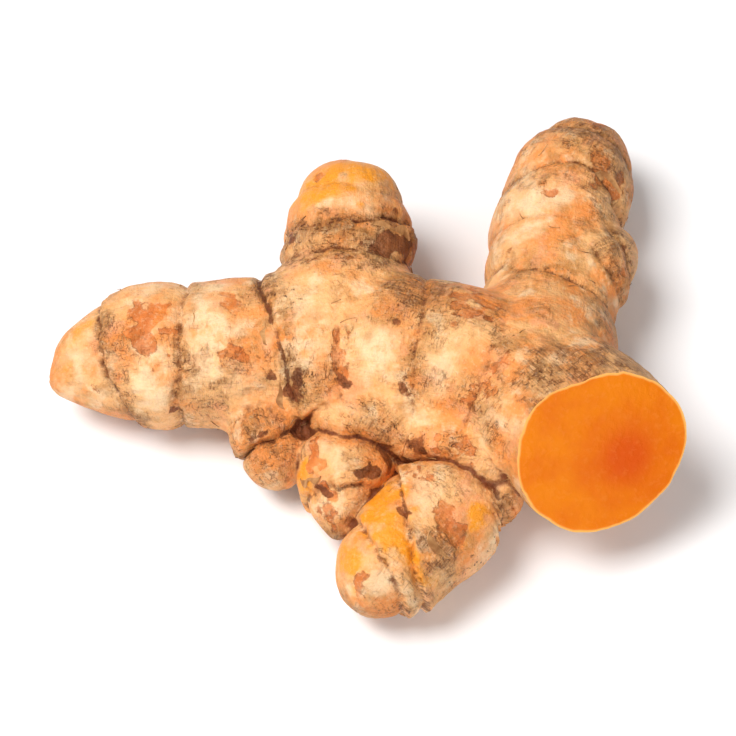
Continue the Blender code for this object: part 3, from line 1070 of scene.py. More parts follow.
    def _relief(self, n: Nodes, weave: SkinWeave) -> bpy.types.NodeSocket:
        """Raise the fibres and grains, and sink the lines and the torn places.

        Args:
            n: the material's nodes.
            weave: the noises and patches that the skin's layers share.

        Returns:
            The normal for the shader.
        """
        coarse = n.plus(n.times(weave.dry, 0.8), 0.2)
        torn_away = n.rest(n.larger(weave.orange, weave.brown))
        relief = None
        for height, depth in (
            (n.times(weave.fibre, coarse), self.fibre_depth),
            (n.times(weave.across, coarse), self.across_depth),
            (weave.edge, self.edge_depth),
            (weave.fine, self.fine_depth),
            (n.rest(weave.inked), self.ink_depth),
            (torn_away, self.torn_depth),
        ):
            relief = n.relief(height, depth, relief)
        return relief


@dataclass(frozen=True)
class FleshFinish:
    """The moist cut flesh: orange, deeper at its core, paler where it meets the skin."""

    outer: tuple = (233, 126, 0)
    core: tuple = (214, 80, 0)
    low: tuple = (226, 113, 0)
    rim: tuple = (252, 190, 104)
    juice: tuple = (255, 160, 60)
    # How far the deep core and the halo round it reach, and how wide their edges are, in mm.
    core_reach: float = 5.4
    core_edge: float = 4.0
    halo_reach: float = 8.2
    halo_edge: float = 2.4
    mottle_scale: float = 900.0
    cloud_scale: float = 260.0
    grain_depth: float = 0.00006
    gloss: float = 0.16
    soaked: float = 0.12
    soak_tints: tuple = (1.0, 0.40, 0.08)
    soak_reach: float = 0.0015

    def material(self) -> bpy.types.Material:
        """Mix the flesh by the distance from its core and from its rim.

        Returns:
            The finished material.
        """
        n = Nodes("turmeric_flesh")
        place = n.place()
        mottle = n.noise(place, self.mottle_scale, 4.0, 0.65)
        cloud = n.noise(place, self.cloud_scale, 3.0)
        core = n.plus(n.value("core"), n.swing(cloud, 1.4))
        colour = n.laid(self.low, linear(*self.outer), n.step(cloud, 0.35, 0.7))
        halo = n.rest(n.step(core, self.halo_reach - self.halo_edge, self.halo_reach))
        colour = n.laid(self.core, colour, halo, 0.30)
        heart = n.rest(n.step(core, self.core_reach - self.core_edge, self.core_reach))
        colour = n.laid(self.core, colour, heart, 0.92)
        colour = n.laid(self.juice, colour, n.step(mottle, 0.52, 0.78, 0.22))
        colour = n.laid(self.core, colour, n.step(n.rest(mottle), 0.55, 0.8, 0.20))
        rim = n.plus(n.value("rim"), n.swing(cloud, 0.5))
        colour = n.laid(self.rim, colour, n.rest(n.step(rim, 0.10, 0.42)), 0.85)
        n.feed(n.shader.inputs["Base Color"], colour)
        n.feed(n.shader.inputs["Roughness"], n.step(mottle, 0.2, 0.9, 0.5))
        n.feed(n.shader.inputs["Normal"], n.relief(mottle, self.grain_depth))
        n.soak(self.gloss, self.soaked, self.soak_tints, self.soak_reach)
        return n.material


@dataclass(frozen=True)
class ScrapFinish:
    """The dry papery remains of the scale leaves."""

    light: tuple = (210, 156, 100)
    dark: tuple = (150, 98, 54)
    streak_scale: tuple = (0.3, 2.6, 2.6)  # cells to a millimetre along the shoot and round it
    blotch_scale: float = 420.0
    streak_depth: float = 0.0001
    gloss: float = 0.3

    def material(self) -> bpy.types.Material:
        """Streak the scraps along their fibres.

        Returns:
            The finished material.
        """
        n = Nodes("scale_leaf")
        strand = n.attribute("strand").outputs["Vector"]
        streak = n.noise(n.scaled(strand, self.streak_scale), 1.0, 4.0)
        blotch = n.noise(n.place(), self.blotch_scale, 4.0)
        colour = n.laid(self.dark, linear(*self.light), n.step(blotch, 0.35, 0.65))
        colour = n.laid(self.dark, colour, n.step(streak, 0.45, 0.75, 0.35))
        n.feed(n.shader.inputs["Base Color"], colour)
        n.feed(n.shader.inputs["Roughness"], n.step(streak, -1.2, 1.0, 0.8))
        n.feed(n.shader.inputs["Normal"], n.relief(streak, self.streak_depth))
        n.shader.inputs["Specular IOR Level"].default_value = self.gloss
        return n.material


@dataclass(frozen=True)
class HairFinish:
    """The dry brown fibre of the fine roots."""

    light: tuple = (196, 142, 84)
    dark: tuple = (104, 62, 28)
    tone_scale: float = 600.0

    def material(self) -> bpy.types.Material:
        """Vary the fibres from light to dark along their length.

        Returns:
            The finished material.
        """
        n = Nodes("root_hair")
        tone = n.noise(n.place(), self.tone_scale, 3.0)
        colour = n.laid(self.dark, linear(*self.light), n.step(tone, 0.35, 0.65))
        n.feed(n.shader.inputs["Base Color"], colour)
        n.feed(n.shader.inputs["Roughness"], n.step(tone, -1.0, 1.0, 0.9))
        return n.material


@dataclass(frozen=True)
class FloorFinish:
    """A matt pale table."""

    tone: tuple = (250, 250, 252)
    shade: tuple = (246, 246, 248)
    cloud_scale: float = 40.0
    roughness: float = 0.85
    gloss: float = 0.1

    def material(self) -> bpy.types.Material:
        """A faintly uneven white.

        Returns:
            The finished material.
        """
        n = Nodes("pale_floor")
        cloud = n.noise(n.place(), self.cloud_scale, 2.0)
        colour = n.laid(self.shade, linear(*self.tone), n.step(cloud, 0.3, 0.7, 0.3))
        n.feed(n.shader.inputs["Base Color"], colour)
        n.shader.inputs["Roughness"].default_value = self.roughness
        n.shader.inputs["Specular IOR Level"].default_value = self.gloss
        return n.material


class Lie:
    """Where points lie on the shoots: which shoot owns each, how far along it, and how turned."""

    SHARPNESS = 1.0  # millimetres over which one shoot's skin gives way to the next
    BLOCK = 20000  # points measured at a time

    def __init__(self, points: np.ndarray) -> None:
        """Find every point's place on every shoot.

        Args:
            points: the points in mm.
        """
        self.points = points
        self.gap = {}
        self.left = {}
        self.turn = {}
        self.radius = {}
        for shoot in SHOOTS:
            self._measure(shoot)
            if shoot.host:
                self.gap[shoot.host] = np.minimum(self.gap[shoot.host], self.gap.pop(shoot.name))
        self.names = list(self.gap)
        gaps = np.array([self.gap[name] for name in self.names])
        gaps = gaps - gaps.min(axis=0)
        share = np.exp(-gaps / self.SHARPNESS)
        self.share = dict(zip(self.names, share / share.sum(axis=0)))
        self.owner = np.argmin(gaps, axis=0)
        self.rival = np.sort(gaps, axis=0)[1]

    def _measure(self, shoot: Shoot) -> None:
        """Measure the points against one shoot's axis.

        Args:
            shoot: the shoot.
        """
        axis, radius, left = shoot.axis()
        near = np.empty(len(self.points), int)
        for start in range(0, len(self.points), self.BLOCK):
            block = self.points[start : start + self.BLOCK]
            far = (axis**2).sum(1)[None] - 2 * block @ axis.T
            near[start : start + self.BLOCK] = far.argmin(1)
        tangent = np.gradient(axis, axis=0)
        tangent /= np.linalg.norm(tangent, axis=1)[:, None]
        t = tangent[near]
        offset = self.points - axis[near]
        along = (offset * t).sum(1)
        out = offset - along[:, None] * t
        reach = np.linalg.norm(out, axis=1)
        above = UP - t * t[:, 2:3]
        above /= np.linalg.norm(above, axis=1)[:, None]
        side = np.cross(t, above)
        here = np.maximum(left[near] - along, 0.0)
        girth = radius[near] * shoot.rounding(here)
        past_tip = np.where(near == len(axis) - 1, np.maximum(along, 0.0), 0.0)
        past_base = np.where(near == 0, np.maximum(-along, 0.0), 0.0)
        self.gap[shoot.name] = np.hypot(reach, past_tip + past_base) - girth
        if shoot.host:
            return
        self.left[shoot.name] = here
        self.turn[shoot.name] = np.arctan2((out * side).sum(1), (out * above).sum(1))
        self.radius[shoot.name] = radius[near]

    def blended(self, values: dict) -> np.ndarray:
        """Blend each point's number between the shoots that share it."""
        return sum(self.share[name] * values[name] for name in self.names)


@dataclass
class RootBody:
    """The root's skin and cut flesh, one closed mesh."""

    # The skin's mesh.
    sides: int = 40
    circle_gap: float = 1.9  # between the circles along a shoot, in mm
    tip_circles: int = 9
    tip_angle: float = 0.485 * math.pi  # how far towards the tip the circles go
    least_radius: float = 0.05
    girth_share: float = 0.972  # the relief brings back the rest
    voxel: float = 0.335
    softening: int = 24
    kept: float = 0.72
    # How high each kind of relief is, in mm, and how wide where it has one width.
    lump: float = 0.42
    lump_width: float = 6.5
    small_lump: float = 0.45  # as a share of the lump
    small_lump_width: float = 3.1
    crevice: float = 0.3
    crevice_width: float = 1.1
    crevice_ends: float = 6.0  # the crevices are cut on the near side only
    crevice_full: float = -4.0
    wrinkle: float = 0.085
    wrinkle_width: float = 0.75
    wrinkle_draw: tuple = (0.25, 1.0, 1.0)  # how the wrinkles along the shoots are drawn out
    cross_wrinkle: float = 0.7  # as a share of the wrinkle
    cross_wrinkle_width: float = 0.9
    cross_wrinkle_draw: tuple = (1.0, 0.3, 0.3)
    fold: float = 1.7
    torn_depth: float = 0.10
    matted_height: float = 0.12
    filling: float = 1.25
    filling_reach: float = 4.0
    filling_rise: float = 1.6
    filled_behind: tuple = (("near_bud", 13.4), ("near_finger", 21.8), ("near_stub", 6.6))
    swelling: float = 0.055  # as a share of the shoot's radius
    swelling_middle: float = 0.45
    swelling_edge: float = 0.28  # as a share of the length between two rings
    last_length: float = 10.0  # of the swelling behind a shoot's last ring
    groove_shift: float = 0.15
    lip_reach: float = 2.6
    # How the rings wander, and how the patches' edges are torn.
    ring_shift: float = 7.3
    wander_width: float = 0.55
    fine_wander: float = 0.55
    fine_wander_width: float = 0.17
    tear: float = 0.75
    tear_width: float = 2.4
    fine_tear: float = 0.5
    fine_tear_width: float = 1.1
    fine_tear_shift: float = 40.0
    # The cut face.
    flesh_rings: int = 26
    sharp_from: float = math.radians(50)
    grain: Grain = field(default_factory=lambda: Grain(5))
    coarse: Grain = field(default_factory=lambda: Grain(11))
    obj: bpy.types.Object = None
    rim: np.ndarray = None
    patches: tuple = ()

    def build(self) -> bpy.types.Object:
        """Model the root and dress it.

        Returns:
            The finished piece, riding on its body.
        """
        self.patches = (*PATCHES, *self._hidden_patches())
        self._fuse([self._loft(shoot) for shoot in SHOOTS])
        self._shape()
        apply_modifier(self.obj, "DECIMATE", ratio=self.kept)
        self._cut()
        self._dress()
        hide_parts(NODE)
        return finish_piece(self.obj, "root_skin")

    def _loft(self, shoot: Shoot) -> bpy.types.Object:
        """Bridge a row of circles along one shoot's axis.

        Args:
            shoot: the shoot.

        Returns:
            The closed loft.
        """
        axis, radius, left = shoot.axis()
        tip = shoot.end_length * (1 - np.sin(np.linspace(0.0, self.tip_angle, self.tip_circles)))
        trunk = np.arange(left[0], shoot.end_length + Shoot.WALK, -self.circle_gap)
        stops = np.concatenate([trunk, tip])
        tangent = np.gradient(axis, axis=0)
        select_none()
        for count, stop in enumerate(stops):
            spot = [np.interp(stop, left[::-1], axis[::-1, k]) for k in range(3)]
            way = Vector([np.interp(stop, left[::-1], tangent[::-1, k]) for k in range(3)])
            girth = np.interp(stop, left[::-1], radius[::-1]) * self.girth_share
            girth = max(girth * float(shoot.rounding(np.array(stop))), self.least_radius)
            bpy.ops.mesh.primitive_circle_add(
                vertices=self.sides,
                radius=girth * MM,
                location=Vector(spot) * MM,
                rotation=way.to_track_quat("Z", "Y").to_euler(),
            )
            if count == 0:
                made = bpy.context.object
                bpy.ops.object.mode_set(mode="EDIT")
        bpy.ops.mesh.select_all(action="SELECT")
        bpy.ops.mesh.bridge_edge_loops()
        bpy.ops.mesh.select_all(action="SELECT")
        bpy.ops.mesh.fill_holes(sides=0)
        bpy.ops.mesh.normals_make_consistent(inside=False)
        bpy.ops.object.mode_set(mode="OBJECT")
        bpy.ops.object.transform_apply(location=True, rotation=True, scale=True)
        made.name = shoot.name
        return made

    def _fuse(self, lofts: list) -> None:
        """Join the shoots into one skin and soften where they meet.

        Args:
            lofts: the shoots' objects.
        """
        self.obj = joined(lofts)
        apply_modifier(self.obj, "REMESH", mode="VOXEL", voxel_size=self.voxel * MM)
        apply_modifier(self.obj, "SMOOTH", factor=0.5, iterations=self.softening)

    def _ring_lines(self, lie: Lie, shoot: Shoot) -> list:
        """How far each point lies behind each of a shoot's ragged rings, in mm.

        Args:
            lie: where the points lie on the shoots.
            shoot: the shoot.

        Returns:
            One set of distances for each ring, positive behind it.
        """
        left, turn = lie.left[shoot.name], lie.turn[shoot.name]
        about = np.stack([np.cos(turn), np.sin(turn), np.zeros_like(turn)], axis=1)
        lines = []
        for count, ring in enumerate(shoot.rings):
            lean = math.radians(ring.lean)
            line = ring.left + ring.tilt * np.cos(turn - lean)
            line = line + ring.arch * np.sin(turn) ** 2
            place = about + np.array([0.0, 0.0, self.ring_shift * count + ring.left])
            line = line + ring.ragged * self.coarse.at(place, self.wander_width)
            fine = self.grain.at(place, self.fine_wander_width)
            line = line + self.fine_wander * ring.ragged * fine
            lines.append(left - line)
        return lines

    def _shape(self) -> None:
        """Raise the rings, the swellings between them, the lumps and the wrinkles."""
        points, normals = points_of(self.obj), normals_of(self.obj)
        lie = Lie(points)
        rise = {shoot.name: self._ring_relief(lie, shoot) for shoot in RINGED}
        height = lie.blended(rise) + self._filled(lie)
        near_side = ramp(points[:, 1], self.crevice_ends, self.crevice_full)
        height -= self.crevice * bump(lie.rival, self.crevice_width) * near_side
        height += self.lump * self.coarse.at(points, self.lump_width)
        height += self.small_lump * self.lump * self.grain.at(points, self.small_lump_width)
        wrinkles = {}
        for name in lie.names:
            strand = self._strand(lie, name)
            along = self.grain.at(strand * self.wrinkle_draw, self.wrinkle_width)
            across = self.coarse.at(strand * self.cross_wrinkle_draw, self.cross_wrinkle_width)
            wrinkles[name] = self.wrinkle * (along + self.cross_wrinkle * across)
        height += lie.blended(wrinkles)
        height -= self.torn_depth * ramp(self._mask(lie, Tint.ORANGE), 0.4, 0.6)
        height += self.matted_height * ramp(self._mask(lie, Tint.GREY), 0.3, 0.7)
        height -= self.fold * self._mask(lie, Tint.DENT)
        points = points + normals * height[:, None]
        points[:, 2] = np.maximum(points[:, 2], 0.0)
        set_points(self.obj, points)

    def _filled(self, lie: Lie) -> np.ndarray:
        """How much the valleys behind the near shoots are filled up, in mm.

        Args:
            lie: where the points lie on the shoots.

        Returns:
            The rise at each point.
        """
        share = np.zeros(len(lie.points))
        for name, start in self.filled_behind:
            behind = ramp(lie.left[name], start, start + self.filling_rise)
            share = np.maximum(share, behind * bump(lie.gap[name], self.filling_reach))
        return self.filling * share * np.maximum(self._hollow(lie.points, VALLEY_ROUNDS), 0.0)

    def _ring_relief(self, lie: Lie, shoot: Shoot) -> np.ndarray:
        """The rise and fall of one shoot's surface at its rings, in mm.

        Args:
            lie: where the points lie on the shoots.
            shoot: the shoot.

        Returns:
            The rise at each point.
        """
        behinds = self._ring_lines(lie, shoot)
        edges = [ring.left for ring in shoot.rings]
        spans = [0.0, *edges, edges[-1] + self.last_length]
        radius = lie.radius[shoot.name]
        height = np.zeros(len(radius))
        swell = np.ones(len(radius))
        for behind, ring, before, after in zip(behinds, shoot.rings, spans, spans[2:]):
            length = np.where(behind < 0, ring.left - before, after - ring.left)
            reach = self.swelling_edge * length
            swell = swell * (1 - bump(behind, reach))
            height -= ring.groove * bump(behind + self.groove_shift, ring.breadth)
            fall = np.exp(-np.maximum(behind, 0) / self.lip_reach)
            height += ring.lip * ramp(behind, -0.05, 0.45) * fall
        return height + self.swelling * radius * (swell - self.swelling_middle)

    def _strand(self, lie: Lie, name: str) -> np.ndarray:
        """Coordinates in mm that run along a shoot and round it, for fibres."""
        turn, left, radius = lie.turn[name], lie.left[name], lie.radius[name]
        return np.stack([left, radius * np.cos(turn), radius * np.sin(turn)], axis=1)

    def _hollow(self, points: np.ndarray, rounds: int) -> np.ndarray:
        """How far each point lies below its surroundings, in mm.

        Args:
            points: the mesh's points in mm.
            rounds: how many times the points are averaged with their neighbours.

        Returns:
            The depth at each point, positive in a hollow.
        """
        mesh = self.obj.data
        edges = np.empty(len(mesh.edges) * 2, np.int32)
        mesh.edges.foreach_get("vertices", edges)
        first, second = edges[::2], edges[1::2]
        count = np.bincount(edges, minlength=len(points))[:, None]
        mean = points.copy()
        for _ in range(rounds):
            total = np.empty_like(mean)
            for axis in range(3):
                total[:, axis] = np.bincount(first, mean[second, axis], len(points))
                total[:, axis] += np.bincount(second, mean[first, axis], len(points))
            mean = 0.5 * mean + 0.5 * total / count
        return ((mean - points) * normals_of(self.obj)).sum(1)

    def _mask(self, lie: Lie, tint: Tint) -> np.ndarray:
        """How strongly each point carries one kind of patch.

        Args:
            lie: where the points lie on the shoots.
            tint: the kind of patch.

        Returns:
            A share from 0 to 1 for each point.
        """
        total = np.zeros(len(lie.points))
        moved = lie.points + self.fine_tear_shift
        torn = [
            self.tear * grain.at(lie.points, self.tear_width)
            + self.fine_tear * grain.at(moved, self.fine_tear_width)
            for grain in (self.grain, self.coarse)
        ]
        for patch in self.patches:
            if patch.tint is not tint:
                continue
            away = lie.turn[patch.shoot] - math.radians(patch.turn)
            away = (away + math.pi) % (2 * math.pi) - math.pi
            across = away * lie.radius[patch.shoot] / patch.breadth + torn[0]
            along = (lie.left[patch.shoot] - patch.left) / patch.length + torn[1]
            share = np.exp(-(along**2) - across**2) * lie.share[patch.shoot]
            total = np.maximum(total, patch.strength * share)
        return total

    def _hidden_patches(self) -> list:
        """Patches on the sides that the listed ones leave bare.

        Returns:
            The patches.
        """
        draw = np.random.default_rng(HIDDEN_SEED)
        made = []
        for name, length, low, high in BARE_SIDES:
            for _ in range(max(FEWEST_HIDDEN, round(length / HIDDEN_GAP))):
                made.append(
                    Patch(
                        name,
                        draw.uniform(2.0, length),
                        draw.uniform(low, high),
                        draw.uniform(1.2, 3.4),
                        draw.uniform(1.8, 5.0),
                        HIDDEN_KINDS[draw.integers(len(HIDDEN_KINDS))],
                        draw.uniform(0.55, 1.0),
                    )
                )
        return made

    def _cut(self) -> None:
        """Slice the stem's right end off and close it with rings of flesh."""
        centre = CUT_POINT + PLACE
        mesh = self.obj.data
        spots = np.empty(len(mesh.polygons) * 3)
        mesh.polygons.foreach_get("center", spots)
        offset = spots.reshape(-1, 3) / MM - centre
        height = offset @ CUT_NORMAL
        flat = np.linalg.norm(offset - height[:, None] * CUT_NORMAL, axis=1)
        chosen = (height > -2.0) & (flat < CUT_REACH)
        make_active(self.obj)
        bpy.ops.object.mode_set(mode="EDIT")
        bpy.ops.mesh.select_mode(type="FACE")
        bpy.ops.mesh.select_all(action="DESELECT")
        bpy.ops.object.mode_set(mode="OBJECT")
        mesh.polygons.foreach_set("select", chosen)
        bpy.ops.object.mode_set(mode="EDIT")
        bpy.ops.mesh.bisect(
            plane_co=tuple(centre * MM),
            plane_no=tuple(CUT_NORMAL),
            clear_outer=True,
            threshold=1e-7,
        )
        bpy.ops.mesh.select_mode(type="VERT")
        bpy.ops.mesh.select_all(action="DESELECT")
        bpy.ops.mesh.select_non_manifold()
        bpy.ops.object.mode_set(mode="OBJECT")
        picked = np.zeros(len(mesh.vertices), bool)
        mesh.vertices.foreach_get("select", picked)
        self.rim = points_of(self.obj)[picked]
        middle = (self.rim.min(0) + self.rim.max(0)) / 2
        middle -= ((middle - centre) @ CUT_NORMAL) * CUT_NORMAL
        bpy.ops.object.mode_set(mode="EDIT")
        shares = [0.99, 0.975, 0.955, 0.93, *np.linspace(0.9, 0.06, self.flesh_rings)]
        before = 1.0
        for share in shares:
            bpy.ops.mesh.extrude_region_move()
            bpy.ops.transform.resize(value=(share / before,) * 3, center_override=tuple(middle * MM))
            before = share
        bpy.ops.mesh.merge(type="CENTER")
        bpy.ops.mesh.select_all(action="SELECT")
        bpy.ops.mesh.normals_make_consistent(inside=False)
        bpy.ops.object.mode_set(mode="OBJECT")

    def _dress(self) -> None:
        """Write the attributes that the finishes read, and give the faces their finishes."""
        points = points_of(self.obj)
        lie = Lie(points)
        lines, earth_and_ledge_shades = {}, {}
        broken = 0.5 + 0.5 * self.coarse.at(points, 2.6) + 0.3 * self.grain.at(points, 1.0)
        patchy = 0.6 + 0.6 * self.grain.at(points, 4.2)
        for shoot in RINGED:
            line, earth_and_ledge_shade = np.zeros(len(points)), np.zeros(len(points))
            for behind, ring in zip(self._ring_lines(lie, shoot), shoot.rings):
                line = np.maximum(line, ring.dark * bump(behind + 0.1, 0.42))
                # The film reaches further behind each ring, where it paints the ledge's shade as well as
                # earth.
                reach = np.where(behind < 0, 1.0, 2.2)
                earth_and_ledge_shade = np.maximum(earth_and_ledge_shade, ring.dust * np.exp(-np.abs(behind) / reach))
            lines[shoot.name], earth_and_ledge_shades[shoot.name] = line, earth_and_ledge_shade
        strands = np.array([self._strand(lie, name) for name in lie.names])
        marks = {
            "scar": lie.blended(lines) * np.clip(0.30 + 0.85 * broken, 0.0, 1.1),
            "earth_and_ledge_shade": lie.blended(earth_and_ledge_shades) * np.clip(patchy, 0.1, 1.0),
            "strand": strands[lie.owner, np.arange(len(points))],
            "single": ramp(lie.rival, 0.0, 1.2),
            # How deep each point lies in a crease, for the painted shade there.
            "crease_shade": ramp(self._hollow(points, CREASE_ROUNDS), 0.10, 0.85),
            # How deep each point lies in a small dip, for the painted shade there.
            "dip_shade": ramp(self._hollow(points, DIP_ROUNDS), 0.01, 0.12),
        }
        for tint in COLOURED:
            marks[tint.value] = self._mask(lie, tint)
        for name, values in marks.items():
            write_attribute(self.obj, name, values)
        self._dress_flesh(points)

    def _dress_flesh(self, points: np.ndarray) -> None:
        """Measure the flesh from its rim and core, and give it the second finish.

        Args:
            points: the piece's points in mm.
        """
        mesh = self.obj.data
        mesh.materials.clear()
        mesh.materials.append(SkinFinish().material())
        mesh.materials.append(FleshFinish().material())
        height = (points - CUT_POINT - PLACE) @ CUT_NORMAL
        gap = np.full(len(points), FAR_FROM_RIM)
        for index in np.where(np.abs(height) < 2 * FLUSH)[0]:
            gap[index] = np.linalg.norm(self.rim - points[index], axis=1).min()
        write_attribute(self.obj, "rim", gap)
        write_attribute(self.obj, "core", np.linalg.norm(points - CORE, axis=1))
        spots = np.empty(len(mesh.polygons) * 3)
        faces = np.empty(len(mesh.polygons) * 3, np.float32)
        mesh.polygons.foreach_get("center", spots)
        mesh.polygons.foreach_get("normal", faces)
        offset = spots.reshape(-1, 3) / MM - CUT_POINT - PLACE
        flush = np.abs(offset @ CUT_NORMAL) < FLUSH
        facing = faces.reshape(-1, 3) @ CUT_NORMAL > 0.999
        close = np.linalg.norm(offset, axis=1) < CUT_REACH
        mesh.polygons.foreach_set("material_index", (flush & facing & close).astype(np.int32))
        make_active(self.obj)
        bpy.ops.object.shade_smooth_by_angle(angle=self.sharp_from)


@dataclass(frozen=True)
class Scrap:
    """A papery remnant: where it is rooted, how far it reaches, and how much it lifts; in mm."""

    shoot: str
    left: float
    turn: float
    reach: float
    sweep: float  # degrees round the shoot
    lift: float = 0.35


SCRAPS = (
    Scrap("stem", 31.9, -62, 1.4, 26, 0.22),
    Scrap("stem", 30.2, -18, 0.8, 18, 0.15),
    Scrap("stem", 31.0, 130, 2.0, 50, 0.35),
    Scrap("stem", 50.5, 150, 1.8, 40, 0.30),
    Scrap("stem", 62.0, 150, 1.4, 34, 0.30),
    Scrap("far_knob", 12.2, 44, 1.7, 46, 0.30),
    Scrap("far_knob", 12.0, 160, 2.0, 60, 0.35),
    Scrap("far_finger", 13.2, 40, 1.4, 34, 0.25),
    Scrap("far_finger", 31.2, 170, 1.8, 50, 0.35),
    Scrap("near_bud", 6.6, 44, 1.4, 40, 0.25),
    Scrap("near_finger", 11.6, -40, 1.2, 34, 0.25),
)


class Ground:
    """The finished skin, as something to lay small pieces on."""

    SPAN = 0.8  # how far each way the direction of a shoot is read, in mm
    CLEARANCE = 0.4  # how far above the plain shoot the search for the skin starts, in mm

    def __init__(self, skin: bpy.types.Object) -> None:
        """Ready the skin for measuring.

        Args:
            skin: the finished root skin.
        """
        self.tree = BVHTree.FromObject(skin, bpy.context.evaluated_depsgraph_get())
        self.axes = {shoot.name: (shoot, *shoot.axis()) for shoot in SHOOTS}

    def spot(self, name: str, left: float, turn: float) -> tuple[np.ndarray, np.ndarray]:
        """Find the skin at a place on a shoot.

        Args:
            name: the shoot.
            left: the distance from its tip in mm.
            turn: the turn from its top in radians.

        Returns:
            The point on the skin in mm, and the way that it faces.
        """
        shoot, axis, radius, lefts = self.axes[name]

        def at(stop: float) -> np.ndarray:
            """The axis point and the radius this far from the tip."""
            rows = (*axis.T, radius)
            return np.array([np.interp(stop, lefts[::-1], row[::-1]) for row in rows])

        here = at(left)
        t = (at(left - self.SPAN) - at(left + self.SPAN))[:3]
        t /= np.linalg.norm(t)
        above = UP - t * t[2]
        above /= np.linalg.norm(above)
        out = above * math.cos(turn) + np.cross(t, above) * math.sin(turn)
        girth = here[3] * float(shoot.rounding(np.array(left)))
        return self.nearest(here[:3] + out * (girth + self.CLEARANCE))

    def nearest(self, point: np.ndarray) -> tuple[np.ndarray, np.ndarray]:
        """The skin nearest to a point in mm, and the way that it faces there."""
        place, normal, _, _ = self.tree.find_nearest(Vector(point * MM))
        return np.array(place) / MM, np.array(normal)


@dataclass
class ScaleScraps:
    """The torn papery remains of the scale leaves, rooted at the rings."""

    ground: Ground
    columns: int = 18
    rows: int = 7
    thickness: float = 0.13
    tear_width: float = 0.62
    wave_width: float = 0.6
    sunk: float = 0.10  # how deep the root of a scrap sits in the skin
    strand_radius: float = 8.0  # the shoot that the fibres are taken to run round
    sharp_from: float = math.radians(60)
    grain: Grain = field(default_factory=lambda: Grain(31))

    def build(self) -> bpy.types.Object:
        """Lay every scrap on the skin and join them.

        Returns:
            The finished piece, riding on its body.
        """
        obj = joined([self._scrap(count, scrap) for count, scrap in enumerate(SCRAPS)])
        obj.data.materials.append(ScrapFinish().material())
        bpy.ops.object.shade_smooth_by_angle(angle=self.sharp_from)
        return finish_piece(obj, "scale_scraps")

    def _edge(self, sheet: np.ndarray, shift: float) -> np.ndarray:
        """Places along a sheet's free edge, shifted so that each sheet tears in its own way."""
        return np.stack([sheet[:, 0], np.full(len(sheet), shift), sheet[:, 2]], axis=1)

    def _scrap(self, count: int, scrap: Scrap) -> bpy.types.Object:
        """Bend one sheet onto the skin, tear its free edge and give it its thickness.

        Args:
            count: which scrap it is.
            scrap: its place and sizes.

        Returns:
            The finished scrap.
        """
        select_none()
        bpy.ops.mesh.primitive_grid_add(
            x_subdivisions=self.columns, y_subdivisions=self.rows, size=2.0
        )
        obj = bpy.context.object
        sheet = points_of(obj) * MM
        tear = self.grain.at(self._edge(sheet, 3.1 * count), self.tear_width)
        wave = self.grain.at(self._edge(sheet, 5.7 * count), self.wave_width)
        strand = np.zeros_like(sheet)
        laid = np.zeros_like(sheet)
        for index, (across, out, _) in enumerate(sheet):
            share = (out + 1) / 2
            round_off = math.sqrt(max(0.0, 1 - abs(across) ** 3))
            reach = scrap.reach * round_off * (0.75 + 0.45 * tear[index]) * share
            turn = math.radians(scrap.turn + across * scrap.sweep / 2)
            place, normal = self.ground.spot(scrap.shoot, scrap.left - reach, turn)
            lift = scrap.lift * share**2 * (0.7 + 0.6 * wave[index]) - self.sunk * (1 - share)
            laid[index] = place + normal * lift
            around = np.array([math.cos(turn), math.sin(turn)]) * self.strand_radius
            strand[index] = (scrap.left - reach, *around)
        set_points(obj, laid)
        write_attribute(obj, "strand", strand)
        apply_modifier(obj, "SOLIDIFY", thickness=self.thickness * MM, offset=0.0)
        turn_faces_out(obj)
        return obj


